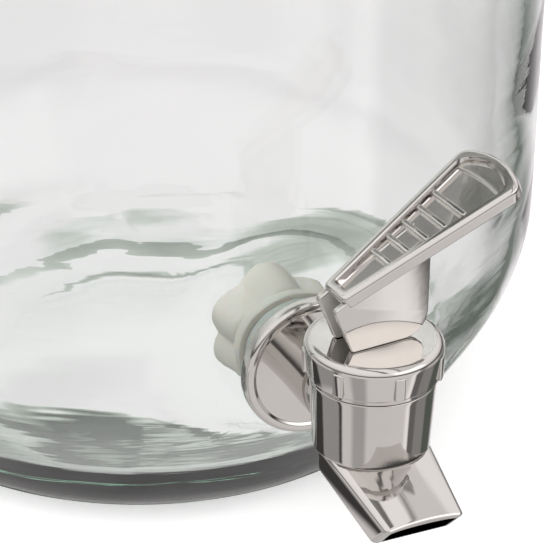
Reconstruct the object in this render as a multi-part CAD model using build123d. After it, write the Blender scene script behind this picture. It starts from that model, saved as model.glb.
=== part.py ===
from build123d import *
import math
import os

# Glass beverage dispenser: a jar with a screw lid and a lever tap near its foot.
# Millimetres, +Z up. The jar's axis is Z, the table is z = 0 and the tap faces -Y.

# Jar
JAR_RADIUS = 100.0
WALL = 4.5
FLOOR = 8.0
HEEL_SLOPE = 31.0
HEEL_UPPER_RADIUS = 53.0
HEEL_CONE = 21.0
HEEL_LOWER_RADIUS = 31.0
HEEL_INNER_RADIUS = 26.0
FOOT_WIDTH = 11.0
PUNT_HEIGHT = 4.0
PUNT_FLAT = 6.0
SIDE_HEIGHT = 172.0
SHOULDER_TURN = 72.0
SHOULDER_RADIUS = 36.0
FLARE_RADIUS = 8.0
SHOULDER_REACH = 42.0
NECK_HEIGHT = 24.0
RIM_ROUND = 1.5

# Lid and its thread
THREAD_PITCH = 6.0
THREAD_DEPTH = 1.8
THREAD_BASE = 3.0
THREAD_TIP = 1.4
THREAD_ROOT = 0.5
JAR_THREAD_TURNS = 1.4
BAND_THREAD_TURNS = 1.1
BAND_THREAD_DEPTH = 1.5
THREAD_TOP_MARGIN = 4.5
BAND_CLEARANCE = 2.4
BAND_SHEET = 1.2
BAND_HEIGHT = 22.5
BAND_EDGE_ROUND = 1.1
BAND_BEAD = 1.3
BAND_LIP = 10.4
GASKET_THICKNESS = 1.5
GASKET_INSET = 1.0
DISC_THICKNESS = 1.0
DISC_CLEARANCE = 1.0
DISC_RING_INSET = 6.0
DISC_RING_WIDTH = 3.0
DISC_RING_HEIGHT = 0.8

# Tap on the glass
SHANK_Z = 58.4
TAP_STANDOFF = 32.7
PAD_PROUD = 1.0
PAD_RADIUS = 16.0
PAD_THICKNESS = 7.5
SEAT_RELIEF = 22.0
HOLE_RADIUS = 8.0
SHANK_RADIUS = 6.5
SHANK_BORE = 3.6
SHANK_END = 3.0
SHANK_CLEARANCE = 0.1
SEAL_RADIUS = 13.0
SEAL_THICKNESS = 2.0
INNER_SEAL_RADIUS = 12.5
INNER_SEAL_THICKNESS = 2.5
FLANGE_RADIUS = 16.75
FLANGE_THICKNESS = 3.6
FLANGE_GAP = 0.4
FLANGE_LIP = 1.2
FLANGE_DISH = 0.6
FLANGE_ROUND = 0.5
NECK_TUBE_RADIUS = 7.4
NUT_RADIUS = 11.6
NUT_LOBES = 6
NUT_LOBE_RADIUS = 4.2
NUT_TURN = 35.0
NUT_LENGTH = 10.5
NUT_COLLAR = 2.2
NUT_COLLAR_RADIUS = 13.4
NUT_ROUND = 0.8

# Tap body and valve chamber
BARREL_DROP = 1.9
BARREL_HEIGHT = 16.5
BARREL_TOP_RADIUS = 13.7
BARREL_BOTTOM_RADIUS = 12.8
SPIGOT_RADIUS = 12.2
SPIGOT_HEIGHT = 5.2
CHAMBER_RADIUS = 8.5
CHAMBER_MARGIN = 0.2
SEAT_HOLE_RADIUS = 4.0
SEAT_WEB = 1.5
BOWL_RADIUS = 9.0
BOWL_DEPTH = 7.2
BOWL_ROUND = 2.5
POCKET_RADIUS = 6.5

# Spout: drops are below the valve seat, the length is forward of the barrel
SPOUT_LENGTH = 14.1
SPOUT_DROP = 2.6
SPOUT_MOUTH_HEIGHT = 7.9
SPOUT_MOUTH_RAKE = 6.7
SPOUT_SLOPE = 18.0
SPOUT_ROOT_DROP = 3.6
SPOUT_ROOT_INSET = 0.5
SPOUT_HALF_WIDTH = 9.3
SPOUT_BEVEL = 2.2
SPOUT_WALL = 1.6
SPOUT_EDGE_ROUND = 0.6

# Bonnet
BONNET_SEAL_THICKNESS = 1.0
BONNET_GAP = 0.3
BONNET_TOP_RADIUS = 15.2
BONNET_LOW_RADIUS = 14.5
BONNET_ROUND = 1.9
BONNET_STEP = 0.5
BONNET_STEP_HEIGHT = 0.9
BONNET_PLATE = 3.0
BONNET_CLEARANCE = 0.25
BONNET_RIBS = 7
BONNET_RIB_WIDTH = 2.4
BONNET_RIB_HEIGHT = 5.4
BONNET_RIB_PROUD = 0.8
BONNET_RIB_TURN = 8.3
HUB_RADIUS = 5.4
HUB_DEPTH = 2.7
STEM_SEAL_WIRE = 0.8
STEM_SEAL_CLEARANCE = 0.03

# Stem, plug and spring
STEM_RADIUS = 2.3
STEM_CLEARANCE = 0.08
STEM_TIP_RADIUS = 2.0
STEM_HEAD = 3.0
COLLAR_RADIUS = 4.3
COLLAR_THICKNESS = 1.6
PLUG_RADIUS = 6.2
PLUG_SKIRT = 3.0
PLUG_NECK_RADIUS = 5.0
PLUG_HEIGHT = 6.1
PLUG_BASE = 1.8
PLUG_CLEARANCE = 0.05
PLUG_GAP = 0.1
SPRING_RADIUS = 3.5
SPRING_WIRE = 0.4
SPRING_TURNS = 7.0
SPRING_SEAT_GAP = 0.05

# Lever: its own x runs along the handle from the tap's axis, z from the bonnet's top
LEVER_TURN = 5.0
LEVER_INCLINE = 28.0
CAM_OFFSET = 5.0
CAM_RADIUS = 5.6
CHEEK_HALF_WIDTH = 4.2
CHEEK = 1.6
CHEEK_TOE = -7.9
CHEEK_NOSE = -12.4
CHEEK_NOSE_Z = 11.4
CHEEK_TOE_ROUND = 0.9
HANDLE_START = -10.9
HANDLE_START_Z = 13.4
HANDLE_LENGTH = 46.0
HANDLE_END_HALF_WIDTH = 11.0
HANDLE_END_BOW = 3.0
HANDLE_CORNER = 3.0
HANDLE_DEPTH = 3.2
HANDLE_RIM = 1.2
HANDLE_RECESS = 1.3
HANDLE_SCOOP = 5.0
HANDLE_EDGE_ROUND = 0.45
GRIP_BARS = 5
GRIP_BAR_WIDTH = 1.3
GRIP_BAR_HEIGHT = 0.8
GRIP_START = 13.0
GRIP_STEP = 4.6
PIN_RADIUS = 1.1
PIN_SOCKET = 0.9
PIN_CLEARANCE = 0.05
PIN_END_GAP = 0.15

# Places worked out from the sizes above
SLOPE_SIN = math.sin(math.radians(HEEL_SLOPE))
SLOPE_COS = math.cos(math.radians(HEEL_SLOPE))
TURN_SIN = math.sin(math.radians(SHOULDER_TURN))
TURN_COS = math.cos(math.radians(SHOULDER_TURN))
FOOT_RADIUS = (
    JAR_RADIUS - HEEL_UPPER_RADIUS * (1 - SLOPE_COS) - HEEL_CONE * SLOPE_SIN - HEEL_LOWER_RADIUS * SLOPE_COS
)
HEEL_TOP = HEEL_UPPER_RADIUS * SLOPE_SIN + HEEL_CONE * SLOPE_COS + HEEL_LOWER_RADIUS * (1 - SLOPE_SIN)
SHOULDER_FALL = (SHOULDER_RADIUS + FLARE_RADIUS) * (1 - TURN_COS)
SHOULDER_RUN = (SHOULDER_REACH - SHOULDER_FALL) / TURN_SIN
NECK_START = HEEL_TOP + SIDE_HEIGHT + (SHOULDER_RADIUS + FLARE_RADIUS) * TURN_SIN + SHOULDER_RUN * TURN_COS
JAR_TOP = NECK_START + NECK_HEIGHT
NECK_RADIUS = JAR_RADIUS - SHOULDER_REACH
PUNT_RUN = FOOT_RADIUS - FOOT_WIDTH - PUNT_FLAT
PUNT_CURVE = (PUNT_RUN ** 2 + PUNT_HEIGHT ** 2) / (2 * PUNT_HEIGHT)
PUNT_TURN = math.degrees(math.asin(PUNT_RUN / PUNT_CURVE))
PAD_FACE = JAR_RADIUS + PAD_PROUD
PAD_BACK = PAD_FACE - PAD_THICKNESS
TAP_REACH = PAD_FACE + TAP_STANDOFF
FLANGE_BACK = PAD_FACE + FLANGE_GAP
FLANGE_FACE = FLANGE_BACK + FLANGE_THICKNESS - FLANGE_DISH
NUT_FACE = PAD_BACK - INNER_SEAL_THICKNESS
NUT_END = NUT_FACE - NUT_LENGTH
DISC_BASE = JAR_TOP + GASKET_THICKNESS
BAND_TOP = DISC_BASE + DISC_THICKNESS + BAND_SHEET
BAND_BORE = NECK_RADIUS + BAND_CLEARANCE
BAND_WINDOW = BAND_BORE - BAND_LIP
DISC_RING_RADIUS = BAND_WINDOW - DISC_RING_INSET
BARREL_BOTTOM = SHANK_Z - BARREL_DROP
BARREL_SHOULDER = BARREL_BOTTOM + BARREL_HEIGHT
SPIGOT_TOP = BARREL_SHOULDER + SPIGOT_HEIGHT
CHAMBER_FLOOR = SHANK_Z - SHANK_BORE - CHAMBER_MARGIN
BOWL_LOW_Z = CHAMBER_FLOOR - BOWL_DEPTH
SPOUT_TOP_LIP = BARREL_BOTTOM_RADIUS + SPOUT_LENGTH
SPOUT_TOP_LIP_Z = CHAMBER_FLOOR - SPOUT_DROP
SPOUT_LOW_LIP = SPOUT_TOP_LIP - SPOUT_MOUTH_RAKE
SPOUT_LOW_LIP_Z = SPOUT_TOP_LIP_Z - SPOUT_MOUTH_HEIGHT
SPOUT_ROOT_LOW_Z = CHAMBER_FLOOR - SPOUT_ROOT_DROP
SPOUT_ROOT_HALF_WIDTH = BARREL_BOTTOM_RADIUS - SPOUT_ROOT_INSET
BONNET_BOTTOM = BARREL_SHOULDER + BONNET_GAP
BONNET_UNDERSIDE = SPIGOT_TOP + BONNET_SEAL_THICKNESS
BONNET_TOP = BONNET_UNDERSIDE + BONNET_PLATE
HUB_BOTTOM = BONNET_UNDERSIDE - HUB_DEPTH
PLUG_TOP = CHAMBER_FLOOR + PLUG_HEIGHT
COLLAR_BOTTOM = PLUG_TOP + PLUG_GAP
COLLAR_TOP = COLLAR_BOTTOM + COLLAR_THICKNESS
PIN_Z = BONNET_TOP + CAM_RADIUS
FORK_HALF_GAP = CHEEK_HALF_WIDTH - CHEEK
UPWARD = (Align.CENTER, Align.CENTER, Align.MIN)
SIDE_VIEW = Plane(origin=(0, 0, 0), x_dir=(0, -1, 0), z_dir=(-1, 0, 0))
PLAN_VIEW = Plane(origin=(0, 0, 0), x_dir=(0, -1, 0), z_dir=(0, 0, 1))
TAP_PLACE = Pos(0, -TAP_REACH, 0)
LEVER_PLACE = TAP_PLACE * Pos(0, 0, BONNET_TOP) * Rot(0, 0, LEVER_TURN)


def post(radius, low, high):
    """Upright cylinder on the tap's axis."""
    return TAP_PLACE * Pos(0, 0, low) * Cylinder(radius, high - low, align=UPWARD)


def taper(low_radius, high_radius, low, high):
    """Upright cone on the tap's axis."""
    return TAP_PLACE * Pos(0, 0, low) * Cone(low_radius, high_radius, high - low, align=UPWARD)


def across(radius, near, far):
    """Cylinder along the shank between two distances from the jar's axis."""
    start = Plane(origin=(0, -near, SHANK_Z), x_dir=(1, 0, 0), z_dir=(0, -1, 0))
    return extrude(start * Circle(radius), far - near)


def lathe(points):
    """Body of revolution about the jar's axis from an outline of (radius, height) points."""
    return revolve(Plane.XZ * make_face(Polyline(*points, close=True)), Axis.Z)


def wall_outline(start, lower_radius, cone, inset, top):
    """Jar outline from its flat base up heel, side and shoulder to the neck's top."""
    lower = JernArc(start, (1, 0), lower_radius, 90 - HEEL_SLOPE)
    slope = Line(lower @ 1, lower @ 1 + (lower % 1) * cone)
    upper = JernArc(slope @ 1, slope % 1, HEEL_UPPER_RADIUS - inset, HEEL_SLOPE)
    side = Line(upper @ 1, upper @ 1 + Vector(0, SIDE_HEIGHT))
    shoulder = JernArc(side @ 1, (0, 1), SHOULDER_RADIUS - inset, SHOULDER_TURN)
    run = Line(shoulder @ 1, shoulder @ 1 + (shoulder % 1) * SHOULDER_RUN)
    flare = JernArc(run @ 1, run % 1, FLARE_RADIUS + inset, -SHOULDER_TURN)
    neck = Line(flare @ 1, ((flare @ 1).X, top))
    return [lower, slope, upper, side, shoulder, run, flare, neck]


def closing_edges(outline):
    """Closes a jar outline along the axis and over the punt at its foot."""
    start = outline[0] @ 0
    top = outline[-1] @ 1
    crown = start.Y + PUNT_HEIGHT
    punt = JernArc((PUNT_FLAT, crown), (1, 0), PUNT_CURVE, -PUNT_TURN)
    return [
        Line(top, (0, top.Y)), Line((0, top.Y), (0, crown)), Line((0, crown), (PUNT_FLAT, crown)),
        punt, Line(punt @ 1, start),
    ]


def jar_body(start, lower_radius, cone, inset, top):
    """Solid of revolution for the jar's outside or for its hollow."""
    outline = wall_outline(start, lower_radius, cone, inset, top)
    return revolve(Plane.XZ * make_face(outline + closing_edges(outline)), Axis.Z)


def thread_ridge(radius, depth, turns, low):
    """Screw ridge on a cylinder; a negative depth stands inwards."""
    path = Helix(THREAD_PITCH, THREAD_PITCH * turns, radius, center=(0, 0, low))
    root = -math.copysign(THREAD_ROOT, depth)
    foot = THREAD_BASE / 2
    tip = THREAD_TIP / 2
    section = Plane(origin=path @ 0, x_dir=(1, 0, 0), z_dir=path % 0)
    outline = Polyline((root, -foot), (root, foot), (depth, tip), (depth, -tip), close=True)
    return sweep(section * make_face(outline), path=path, is_frenet=True)


def make_glass_jar():
    """Jar with a thick heel, a flat pad and seat round the tap hole, and a neck thread."""
    outside = jar_body((FOOT_RADIUS, 0), HEEL_LOWER_RADIUS, HEEL_CONE, 0, JAR_TOP)
    inner_upper = HEEL_UPPER_RADIUS - WALL
    inner_drop = HEEL_TOP - FLOOR - inner_upper * SLOPE_SIN - HEEL_INNER_RADIUS * (1 - SLOPE_SIN)
    inner_cone = inner_drop / SLOPE_COS
    inner_base = JAR_RADIUS - WALL - inner_upper * (1 - SLOPE_COS) - inner_cone * SLOPE_SIN
    inner_start = (inner_base - HEEL_INNER_RADIUS * SLOPE_COS, FLOOR)
    hollow = jar_body(inner_start, HEEL_INNER_RADIUS, inner_cone, WALL, JAR_TOP)
    jar = outside - hollow
    jar = fillet(jar.edges().filter_by(GeomType.CIRCLE).group_by(Axis.Z)[-1], RIM_ROUND)
    jar += across(PAD_RADIUS, PAD_BACK, PAD_FACE)
    jar -= across(PAD_RADIUS, PAD_BACK - SEAT_RELIEF, PAD_BACK)
    jar -= across(HOLE_RADIUS, PAD_BACK - SEAT_RELIEF, PAD_FACE + PAD_PROUD)
    low = JAR_TOP - THREAD_TOP_MARGIN - THREAD_PITCH * JAR_THREAD_TURNS
    return jar + thread_ridge(NECK_RADIUS, THREAD_DEPTH, JAR_THREAD_TURNS, low)


def make_lid_band():
    """Screw band: skirt, inward top flange, rolled lower bead and inner thread ridge."""
    outer = BAND_BORE + BAND_SHEET
    low = BAND_TOP - BAND_HEIGHT
    under = BAND_TOP - BAND_SHEET
    outline = [
        (BAND_BORE, low), (outer, low), (outer, BAND_TOP),
        (BAND_WINDOW, BAND_TOP), (BAND_WINDOW, under), (BAND_BORE, under),
    ]
    band = lathe(outline)
    top_edge = band.edges().filter_by(GeomType.CIRCLE).group_by(Axis.Z)[-1].sort_by(SortBy.RADIUS)[-1]
    band = fillet(top_edge, BAND_EDGE_ROUND)
    band += Pos(0, 0, low + BAND_BEAD) * Torus(outer, BAND_BEAD)
    bead_hollow = Pos(0, 0, low) * Cylinder(BAND_BORE, 2 * BAND_BEAD, align=UPWARD)
    jar_low = JAR_TOP - THREAD_TOP_MARGIN - THREAD_PITCH * JAR_THREAD_TURNS
    ridge_low = jar_low - THREAD_PITCH / 2
    return band - bead_hollow + thread_ridge(BAND_BORE, -BAND_THREAD_DEPTH, BAND_THREAD_TURNS, ridge_low)


def make_lid_disc():
    """Lid plate with a raised stiffening ring."""
    radius = BAND_BORE - DISC_CLEARANCE
    plate = Pos(0, 0, DISC_BASE) * Cylinder(radius, DISC_THICKNESS, align=UPWARD)
    ring_top = DISC_BASE + DISC_THICKNESS + DISC_RING_HEIGHT
    outline = [
        (DISC_RING_RADIUS - DISC_RING_WIDTH, DISC_BASE), (DISC_RING_RADIUS + DISC_RING_WIDTH, DISC_BASE),
        (DISC_RING_RADIUS + DISC_RING_WIDTH / 2, ring_top), (DISC_RING_RADIUS - DISC_RING_WIDTH / 2, ring_top),
    ]
    return plate + lathe(outline)


def make_lid_gasket():
    """Flat ring between the jar's rim and the lid plate."""
    inner = NECK_RADIUS - WALL - GASKET_INSET
    outer = Pos(0, 0, JAR_TOP) * Cylinder(NECK_RADIUS, GASKET_THICKNESS, align=UPWARD)
    return outer - Pos(0, 0, JAR_TOP) * Cylinder(inner, GASKET_THICKNESS, align=UPWARD)


def spout_top(forward):
    """Height of the spout's sloping top face at a distance forward of the tap's axis."""
    return SPOUT_TOP_LIP_Z + (SPOUT_TOP_LIP - forward) * math.tan(math.radians(SPOUT_SLOPE))


def spout_profile(points, half_width):
    """Prism across the spout from an outline in its side view, with the tap's axis at the origin."""
    return extrude(SIDE_VIEW * make_face(Polyline(*points, close=True)), half_width, both=True)


def spout_underside(forward):
    """Height of the spout's sloping underside at a distance forward of the tap's axis."""
    return SPOUT_ROOT_LOW_Z + (SPOUT_LOW_LIP_Z - SPOUT_ROOT_LOW_Z) * forward / SPOUT_LOW_LIP


def make_spout():
    """Duck-bill spout with bevelled top edges, and the round bowl behind it."""
    outline = [
        (0, SPOUT_ROOT_LOW_Z), (SPOUT_LOW_LIP, SPOUT_LOW_LIP_Z),
        (SPOUT_TOP_LIP, SPOUT_TOP_LIP_Z), (0, spout_top(0)),
    ]
    block = spout_profile(outline, SPOUT_ROOT_HALF_WIDTH)
    sides = Polyline(
        (0, -SPOUT_ROOT_HALF_WIDTH), (SPOUT_TOP_LIP, -SPOUT_HALF_WIDTH),
        (SPOUT_TOP_LIP, SPOUT_HALF_WIDTH), (0, SPOUT_ROOT_HALF_WIDTH), close=True,
    )
    bill = block & extrude(PLAN_VIEW * make_face(sides), BONNET_TOP)
    top = bill.faces().sort_by(lambda face: face.normal_at().Z)[-1]
    bill = chamfer(top.edges().filter_by(Axis.X, reverse=True), SPOUT_BEVEL)
    mouth = bill.faces().sort_by(lambda face: face.normal_at().Y)[0]
    bill = fillet(mouth.edges(), SPOUT_EDGE_ROUND)
    bowl = post(BOWL_RADIUS, BOWL_LOW_Z, BARREL_BOTTOM)
    bowl = fillet(bowl.edges().group_by(Axis.Z)[0], BOWL_ROUND)
    return bowl + taper(BOWL_RADIUS, BARREL_BOTTOM_RADIUS, SPOUT_ROOT_LOW_Z, BARREL_BOTTOM) + TAP_PLACE * bill


def spout_duct():
    """Way from the pocket under the valve seat to the mouth."""
    rise = SPOUT_TOP_LIP_Z - SPOUT_LOW_LIP_Z
    reach = SPOUT_TOP_LIP - SPOUT_LOW_LIP
    lip = math.hypot(rise, reach)
    along = Vector(reach, rise) / lip
    outward = Vector(rise, -reach) / lip * 2 * SPOUT_WALL
    low = Vector(SPOUT_LOW_LIP, SPOUT_LOW_LIP_Z) + along * SPOUT_WALL
    high = Vector(SPOUT_TOP_LIP, SPOUT_TOP_LIP_Z) - along * SPOUT_WALL
    ceiling = CHAMBER_FLOOR - SEAT_WEB
    back = SEAT_HOLE_RADIUS / 2
    front = CHAMBER_RADIUS + SPOUT_WALL
    points = [
        (back, ceiling), (back, spout_underside(back) + SPOUT_WALL), low, low + outward,
        high + outward, high, (front, spout_top(front) - SPOUT_WALL), (front, ceiling),
    ]
    pocket = post(POCKET_RADIUS, BOWL_LOW_Z + SPOUT_WALL, ceiling)
    return pocket + TAP_PLACE * spout_profile(points, SPOUT_HALF_WIDTH - SPOUT_WALL)


def make_tap_body():
    """Shank, neck, barrel, bowl and spout in one moulding, with the valve chamber and flow ways."""
    body = taper(BARREL_BOTTOM_RADIUS, BARREL_TOP_RADIUS, BARREL_BOTTOM, BARREL_SHOULDER)
    body += post(SPIGOT_RADIUS, BARREL_SHOULDER, SPIGOT_TOP)
    body += make_spout()
    body += across(NECK_TUBE_RADIUS, FLANGE_FACE, TAP_REACH)
    body += across(SHANK_RADIUS, NUT_END - SHANK_END, FLANGE_FACE)
    body -= post(CHAMBER_RADIUS, CHAMBER_FLOOR, SPIGOT_TOP)
    body -= across(SHANK_BORE, NUT_END - SHANK_END, TAP_REACH)
    body -= post(SEAT_HOLE_RADIUS, CHAMBER_FLOOR - SEAT_WEB, CHAMBER_FLOOR)
    return body - spout_duct()


def make_wall_flange():
    """Chromed disc with a raised rim, a dished face and a seal recess behind."""
    rim_face = FLANGE_BACK + FLANGE_THICKNESS
    flange = across(FLANGE_RADIUS, FLANGE_BACK, rim_face)
    flange -= across(FLANGE_RADIUS - FLANGE_LIP, FLANGE_FACE, rim_face)
    circles = flange.edges().filter_by(GeomType.CIRCLE).group_by(Axis.Y)
    flange = fillet(circles[0] + circles[-1], FLANGE_ROUND)
    flange -= across(SEAL_RADIUS + SHANK_CLEARANCE, FLANGE_BACK, PAD_FACE + SEAL_THICKNESS)
    return flange - across(SHANK_RADIUS + SHANK_CLEARANCE, FLANGE_BACK, rim_face)


def make_shank_seal(radius, near, far):
    """Flat washer on the shank."""
    return across(radius, near, far) - across(SHANK_RADIUS + SHANK_CLEARANCE, near, far)


def make_lobed_nut():
    """Hand nut with round lobes and a collar that presses the inner washer."""
    grip_end = NUT_FACE - NUT_COLLAR
    start = Plane(origin=(0, -NUT_END, SHANK_Z), x_dir=(1, 0, 0), z_dir=(0, -1, 0))
    lobes = PolarLocations(NUT_RADIUS - NUT_LOBE_RADIUS / 2, NUT_LOBES, start_angle=NUT_TURN)
    grip = Circle(NUT_RADIUS) + lobes * Circle(NUT_LOBE_RADIUS)
    nut = extrude(start * grip, grip_end - NUT_END)
    nut = fillet(nut.edges().group_by(Axis.Y)[-1], NUT_ROUND)
    nut += across(NUT_COLLAR_RADIUS, grip_end, NUT_FACE)
    return nut - across(SHANK_RADIUS + SHANK_CLEARANCE, NUT_END, NUT_FACE)


def make_bonnet():
    """Screw cap with a rounded rim, grip ribs, a stepped foot and a hub for the stem seal."""
    step_top = BONNET_BOTTOM + BONNET_STEP_HEIGHT
    cap = taper(BONNET_LOW_RADIUS, BONNET_TOP_RADIUS, step_top, BONNET_TOP)
    cap = fillet(cap.edges().group_by(Axis.Z)[-1], BONNET_ROUND)
    cap += post(BONNET_LOW_RADIUS - BONNET_STEP, BONNET_BOTTOM, step_top)
    rib_low = step_top + BONNET_STEP
    rib = Box(
        2 * BONNET_RIB_PROUD, BONNET_RIB_WIDTH, BONNET_RIB_HEIGHT,
        align=(Align.MAX, Align.CENTER, Align.MIN),
    )
    rib = fillet(rib.edges().filter_by(Axis.Z).group_by(Axis.X)[-1], BONNET_RIB_PROUD)
    reach = BONNET_LOW_RADIUS + BONNET_RIB_PROUD
    for number in range(BONNET_RIBS):
        turn = Rot(0, 0, BONNET_RIB_TURN + number * 360 / BONNET_RIBS)
        cap += TAP_PLACE * Pos(0, 0, rib_low) * turn * Pos(reach, 0, 0) * rib
    bore = SPIGOT_RADIUS + BONNET_CLEARANCE
    cap -= post(bore, BONNET_BOTTOM, BONNET_UNDERSIDE)
    cap += post(HUB_RADIUS, HUB_BOTTOM, BONNET_UNDERSIDE)
    cap -= post(STEM_RADIUS + STEM_CLEARANCE, HUB_BOTTOM, BONNET_TOP)
    groove_middle = (HUB_BOTTOM + BONNET_UNDERSIDE) / 2
    groove = STEM_RADIUS + STEM_SEAL_CLEARANCE + 2 * STEM_SEAL_WIRE + STEM_CLEARANCE
    half = STEM_SEAL_WIRE + STEM_CLEARANCE
    return cap - post(groove, groove_middle - half, groove_middle + half)


def make_bonnet_seal():
    """Flat washer clamped between the barrel's spigot and the bonnet."""
    return post(SPIGOT_RADIUS, SPIGOT_TOP, BONNET_UNDERSIDE) - post(CHAMBER_RADIUS, SPIGOT_TOP, BONNET_UNDERSIDE)


def make_stem_seal():
    """O-ring round the stem in the bonnet's hub."""
    middle = (HUB_BOTTOM + BONNET_UNDERSIDE) / 2
    ring = Torus(STEM_RADIUS + STEM_SEAL_CLEARANCE + STEM_SEAL_WIRE, STEM_SEAL_WIRE)
    return TAP_PLACE * Pos(0, 0, middle) * ring


def make_valve_stem():
    """Rod with a spring collar, a tip in the plug and a round head drilled for the pin."""
    top = PIN_Z + STEM_HEAD
    stem = post(STEM_RADIUS, COLLAR_BOTTOM, top)
    stem = fillet(stem.edges().group_by(Axis.Z)[-1], STEM_RADIUS / 2)
    stem += post(COLLAR_RADIUS, COLLAR_BOTTOM, COLLAR_TOP)
    stem += post(STEM_TIP_RADIUS, CHAMBER_FLOOR + PLUG_BASE + PLUG_GAP, COLLAR_BOTTOM)
    return stem - pivot_rod(PIN_RADIUS, STEM_RADIUS)


def pivot_rod(radius, half_length):
    """Rod along the lever's pivot axis."""
    rod = extrude(Plane.XZ * Circle(radius), half_length, both=True)
    return LEVER_PLACE * Pos(0, 0, CAM_RADIUS) * rod


def make_seat_plug():
    """Soft plug with a wide sealing foot and a socket for the stem's tip."""
    plug = post(PLUG_RADIUS, CHAMBER_FLOOR, CHAMBER_FLOOR + PLUG_SKIRT)
    plug += post(PLUG_NECK_RADIUS, CHAMBER_FLOOR, PLUG_TOP)
    return plug - post(STEM_TIP_RADIUS + PLUG_CLEARANCE, CHAMBER_FLOOR + PLUG_BASE, PLUG_TOP)


def make_return_spring():
    """Coil spring between the stem's collar and the bonnet's hub."""
    low = COLLAR_TOP + SPRING_WIRE + SPRING_SEAT_GAP
    height = HUB_BOTTOM - SPRING_WIRE - SPRING_SEAT_GAP - low
    path = Helix(height / SPRING_TURNS, height, SPRING_RADIUS)
    section = Plane(origin=path @ 0, x_dir=(1, 0, 0), z_dir=path % 0)
    return TAP_PLACE * Pos(0, 0, low) * sweep(section * Circle(SPRING_WIRE), path=path, is_frenet=True)


def cheek_face():
    """Side outline of the lever's cheeks, with the cam at the foot's rear."""
    incline = math.tan(math.radians(LEVER_INCLINE))
    sunk = HANDLE_DEPTH / 2 / math.cos(math.radians(LEVER_INCLINE))
    rear = CAM_OFFSET + CAM_RADIUS
    rear_top = HANDLE_START_Z + (rear - HANDLE_START) * incline - sunk
    toe = Line((CHEEK_NOSE, CHEEK_NOSE_Z), (CHEEK_TOE, 0))
    foot = Line((CHEEK_TOE, 0), (CAM_OFFSET, 0))
    cam = JernArc((CAM_OFFSET, 0), (1, 0), CAM_RADIUS, 90)
    back = Line(cam @ 1, (rear, rear_top))
    seat = Line((rear, rear_top), (HANDLE_START, HANDLE_START_Z - sunk))
    close = Line((HANDLE_START, HANDLE_START_Z - sunk), (CHEEK_NOSE, CHEEK_NOSE_Z))
    face = make_face([toe, foot, cam, back, seat, close])
    return fillet(face.vertices().sort_by(Axis.Y)[:2].sort_by(Axis.X)[0], CHEEK_TOE_ROUND)


def handle_outline(inset, start, end):
    """Tapered outline of the handle's top, with a bowed far end."""
    flare = (HANDLE_END_HALF_WIDTH - CHEEK_HALF_WIDTH) / (HANDLE_LENGTH - HANDLE_END_BOW)
    narrow = CHEEK_HALF_WIDTH + flare * start - inset
    shoulder = end - HANDLE_END_BOW
    wide = CHEEK_HALF_WIDTH + flare * shoulder - inset
    sides = [
        Line((shoulder, -wide), (start, -narrow)), Line((start, -narrow), (start, narrow)),
        Line((start, narrow), (shoulder, wide)), ThreePointArc((shoulder, wide), (end, 0), (shoulder, -wide)),
    ]
    face = make_face(sides)
    return fillet(face.vertices().sort_by(Axis.X)[2:], HANDLE_CORNER)


def make_lever():
    """Lever: two cheeks with a lifting cam, under a tapered handle with a recessed grip panel."""
    face = Plane.XZ * cheek_face()
    cheeks = extrude(face, CHEEK_HALF_WIDTH, both=True) - extrude(face, FORK_HALF_GAP, both=True)
    for side in (-1, 1):
        length = PIN_SOCKET + PIN_END_GAP
        socket = Plane(origin=(0, side * FORK_HALF_GAP, CAM_RADIUS), z_dir=(0, side, 0))
        cheeks -= extrude(socket * Circle(PIN_RADIUS + PIN_CLEARANCE), length)
    incline = math.radians(LEVER_INCLINE)
    top = Plane(
        origin=(HANDLE_START, 0, HANDLE_START_Z),
        x_dir=(math.cos(incline), 0, math.sin(incline)),
        z_dir=(-math.sin(incline), 0, math.cos(incline)),
    )
    handle = extrude(handle_outline(0, 0, HANDLE_LENGTH), -HANDLE_DEPTH)
    handle = fillet(handle.edges().group_by(Axis.Z)[-1], HANDLE_EDGE_ROUND)
    panel_end = HANDLE_LENGTH - HANDLE_RIM
    handle -= extrude(handle_outline(HANDLE_RIM, 2 * HANDLE_RIM, panel_end), -HANDLE_RECESS)
    handle += scoop(panel_end)
    for number in range(GRIP_BARS):
        handle += grip_bar(GRIP_START + number * GRIP_STEP)
    return LEVER_PLACE * (cheeks + top * handle)


def scoop(panel_end):
    """Curved step at the far end of the grip panel."""
    step = handle_outline(HANDLE_RIM / 2, HANDLE_RIM, panel_end + HANDLE_RIM / 2)
    hollow = Pos(panel_end - HANDLE_SCOOP - HANDLE_LENGTH, 0) * Circle(HANDLE_LENGTH)
    return Pos(0, 0, -HANDLE_RECESS - HANDLE_EDGE_ROUND) * extrude(step - hollow, HANDLE_RECESS)


def grip_bar(start):
    """Rounded bar across the grip panel."""
    flare = (HANDLE_END_HALF_WIDTH - CHEEK_HALF_WIDTH) / (HANDLE_LENGTH - HANDLE_END_BOW)
    half = CHEEK_HALF_WIDTH + flare * start - 2 * HANDLE_RIM
    bar = SlotCenterToCenter(2 * half - GRIP_BAR_WIDTH, GRIP_BAR_WIDTH, rotation=90)
    low = -HANDLE_RECESS - HANDLE_EDGE_ROUND
    return Pos(start, 0, low) * extrude(bar, GRIP_BAR_HEIGHT + HANDLE_EDGE_ROUND)


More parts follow.
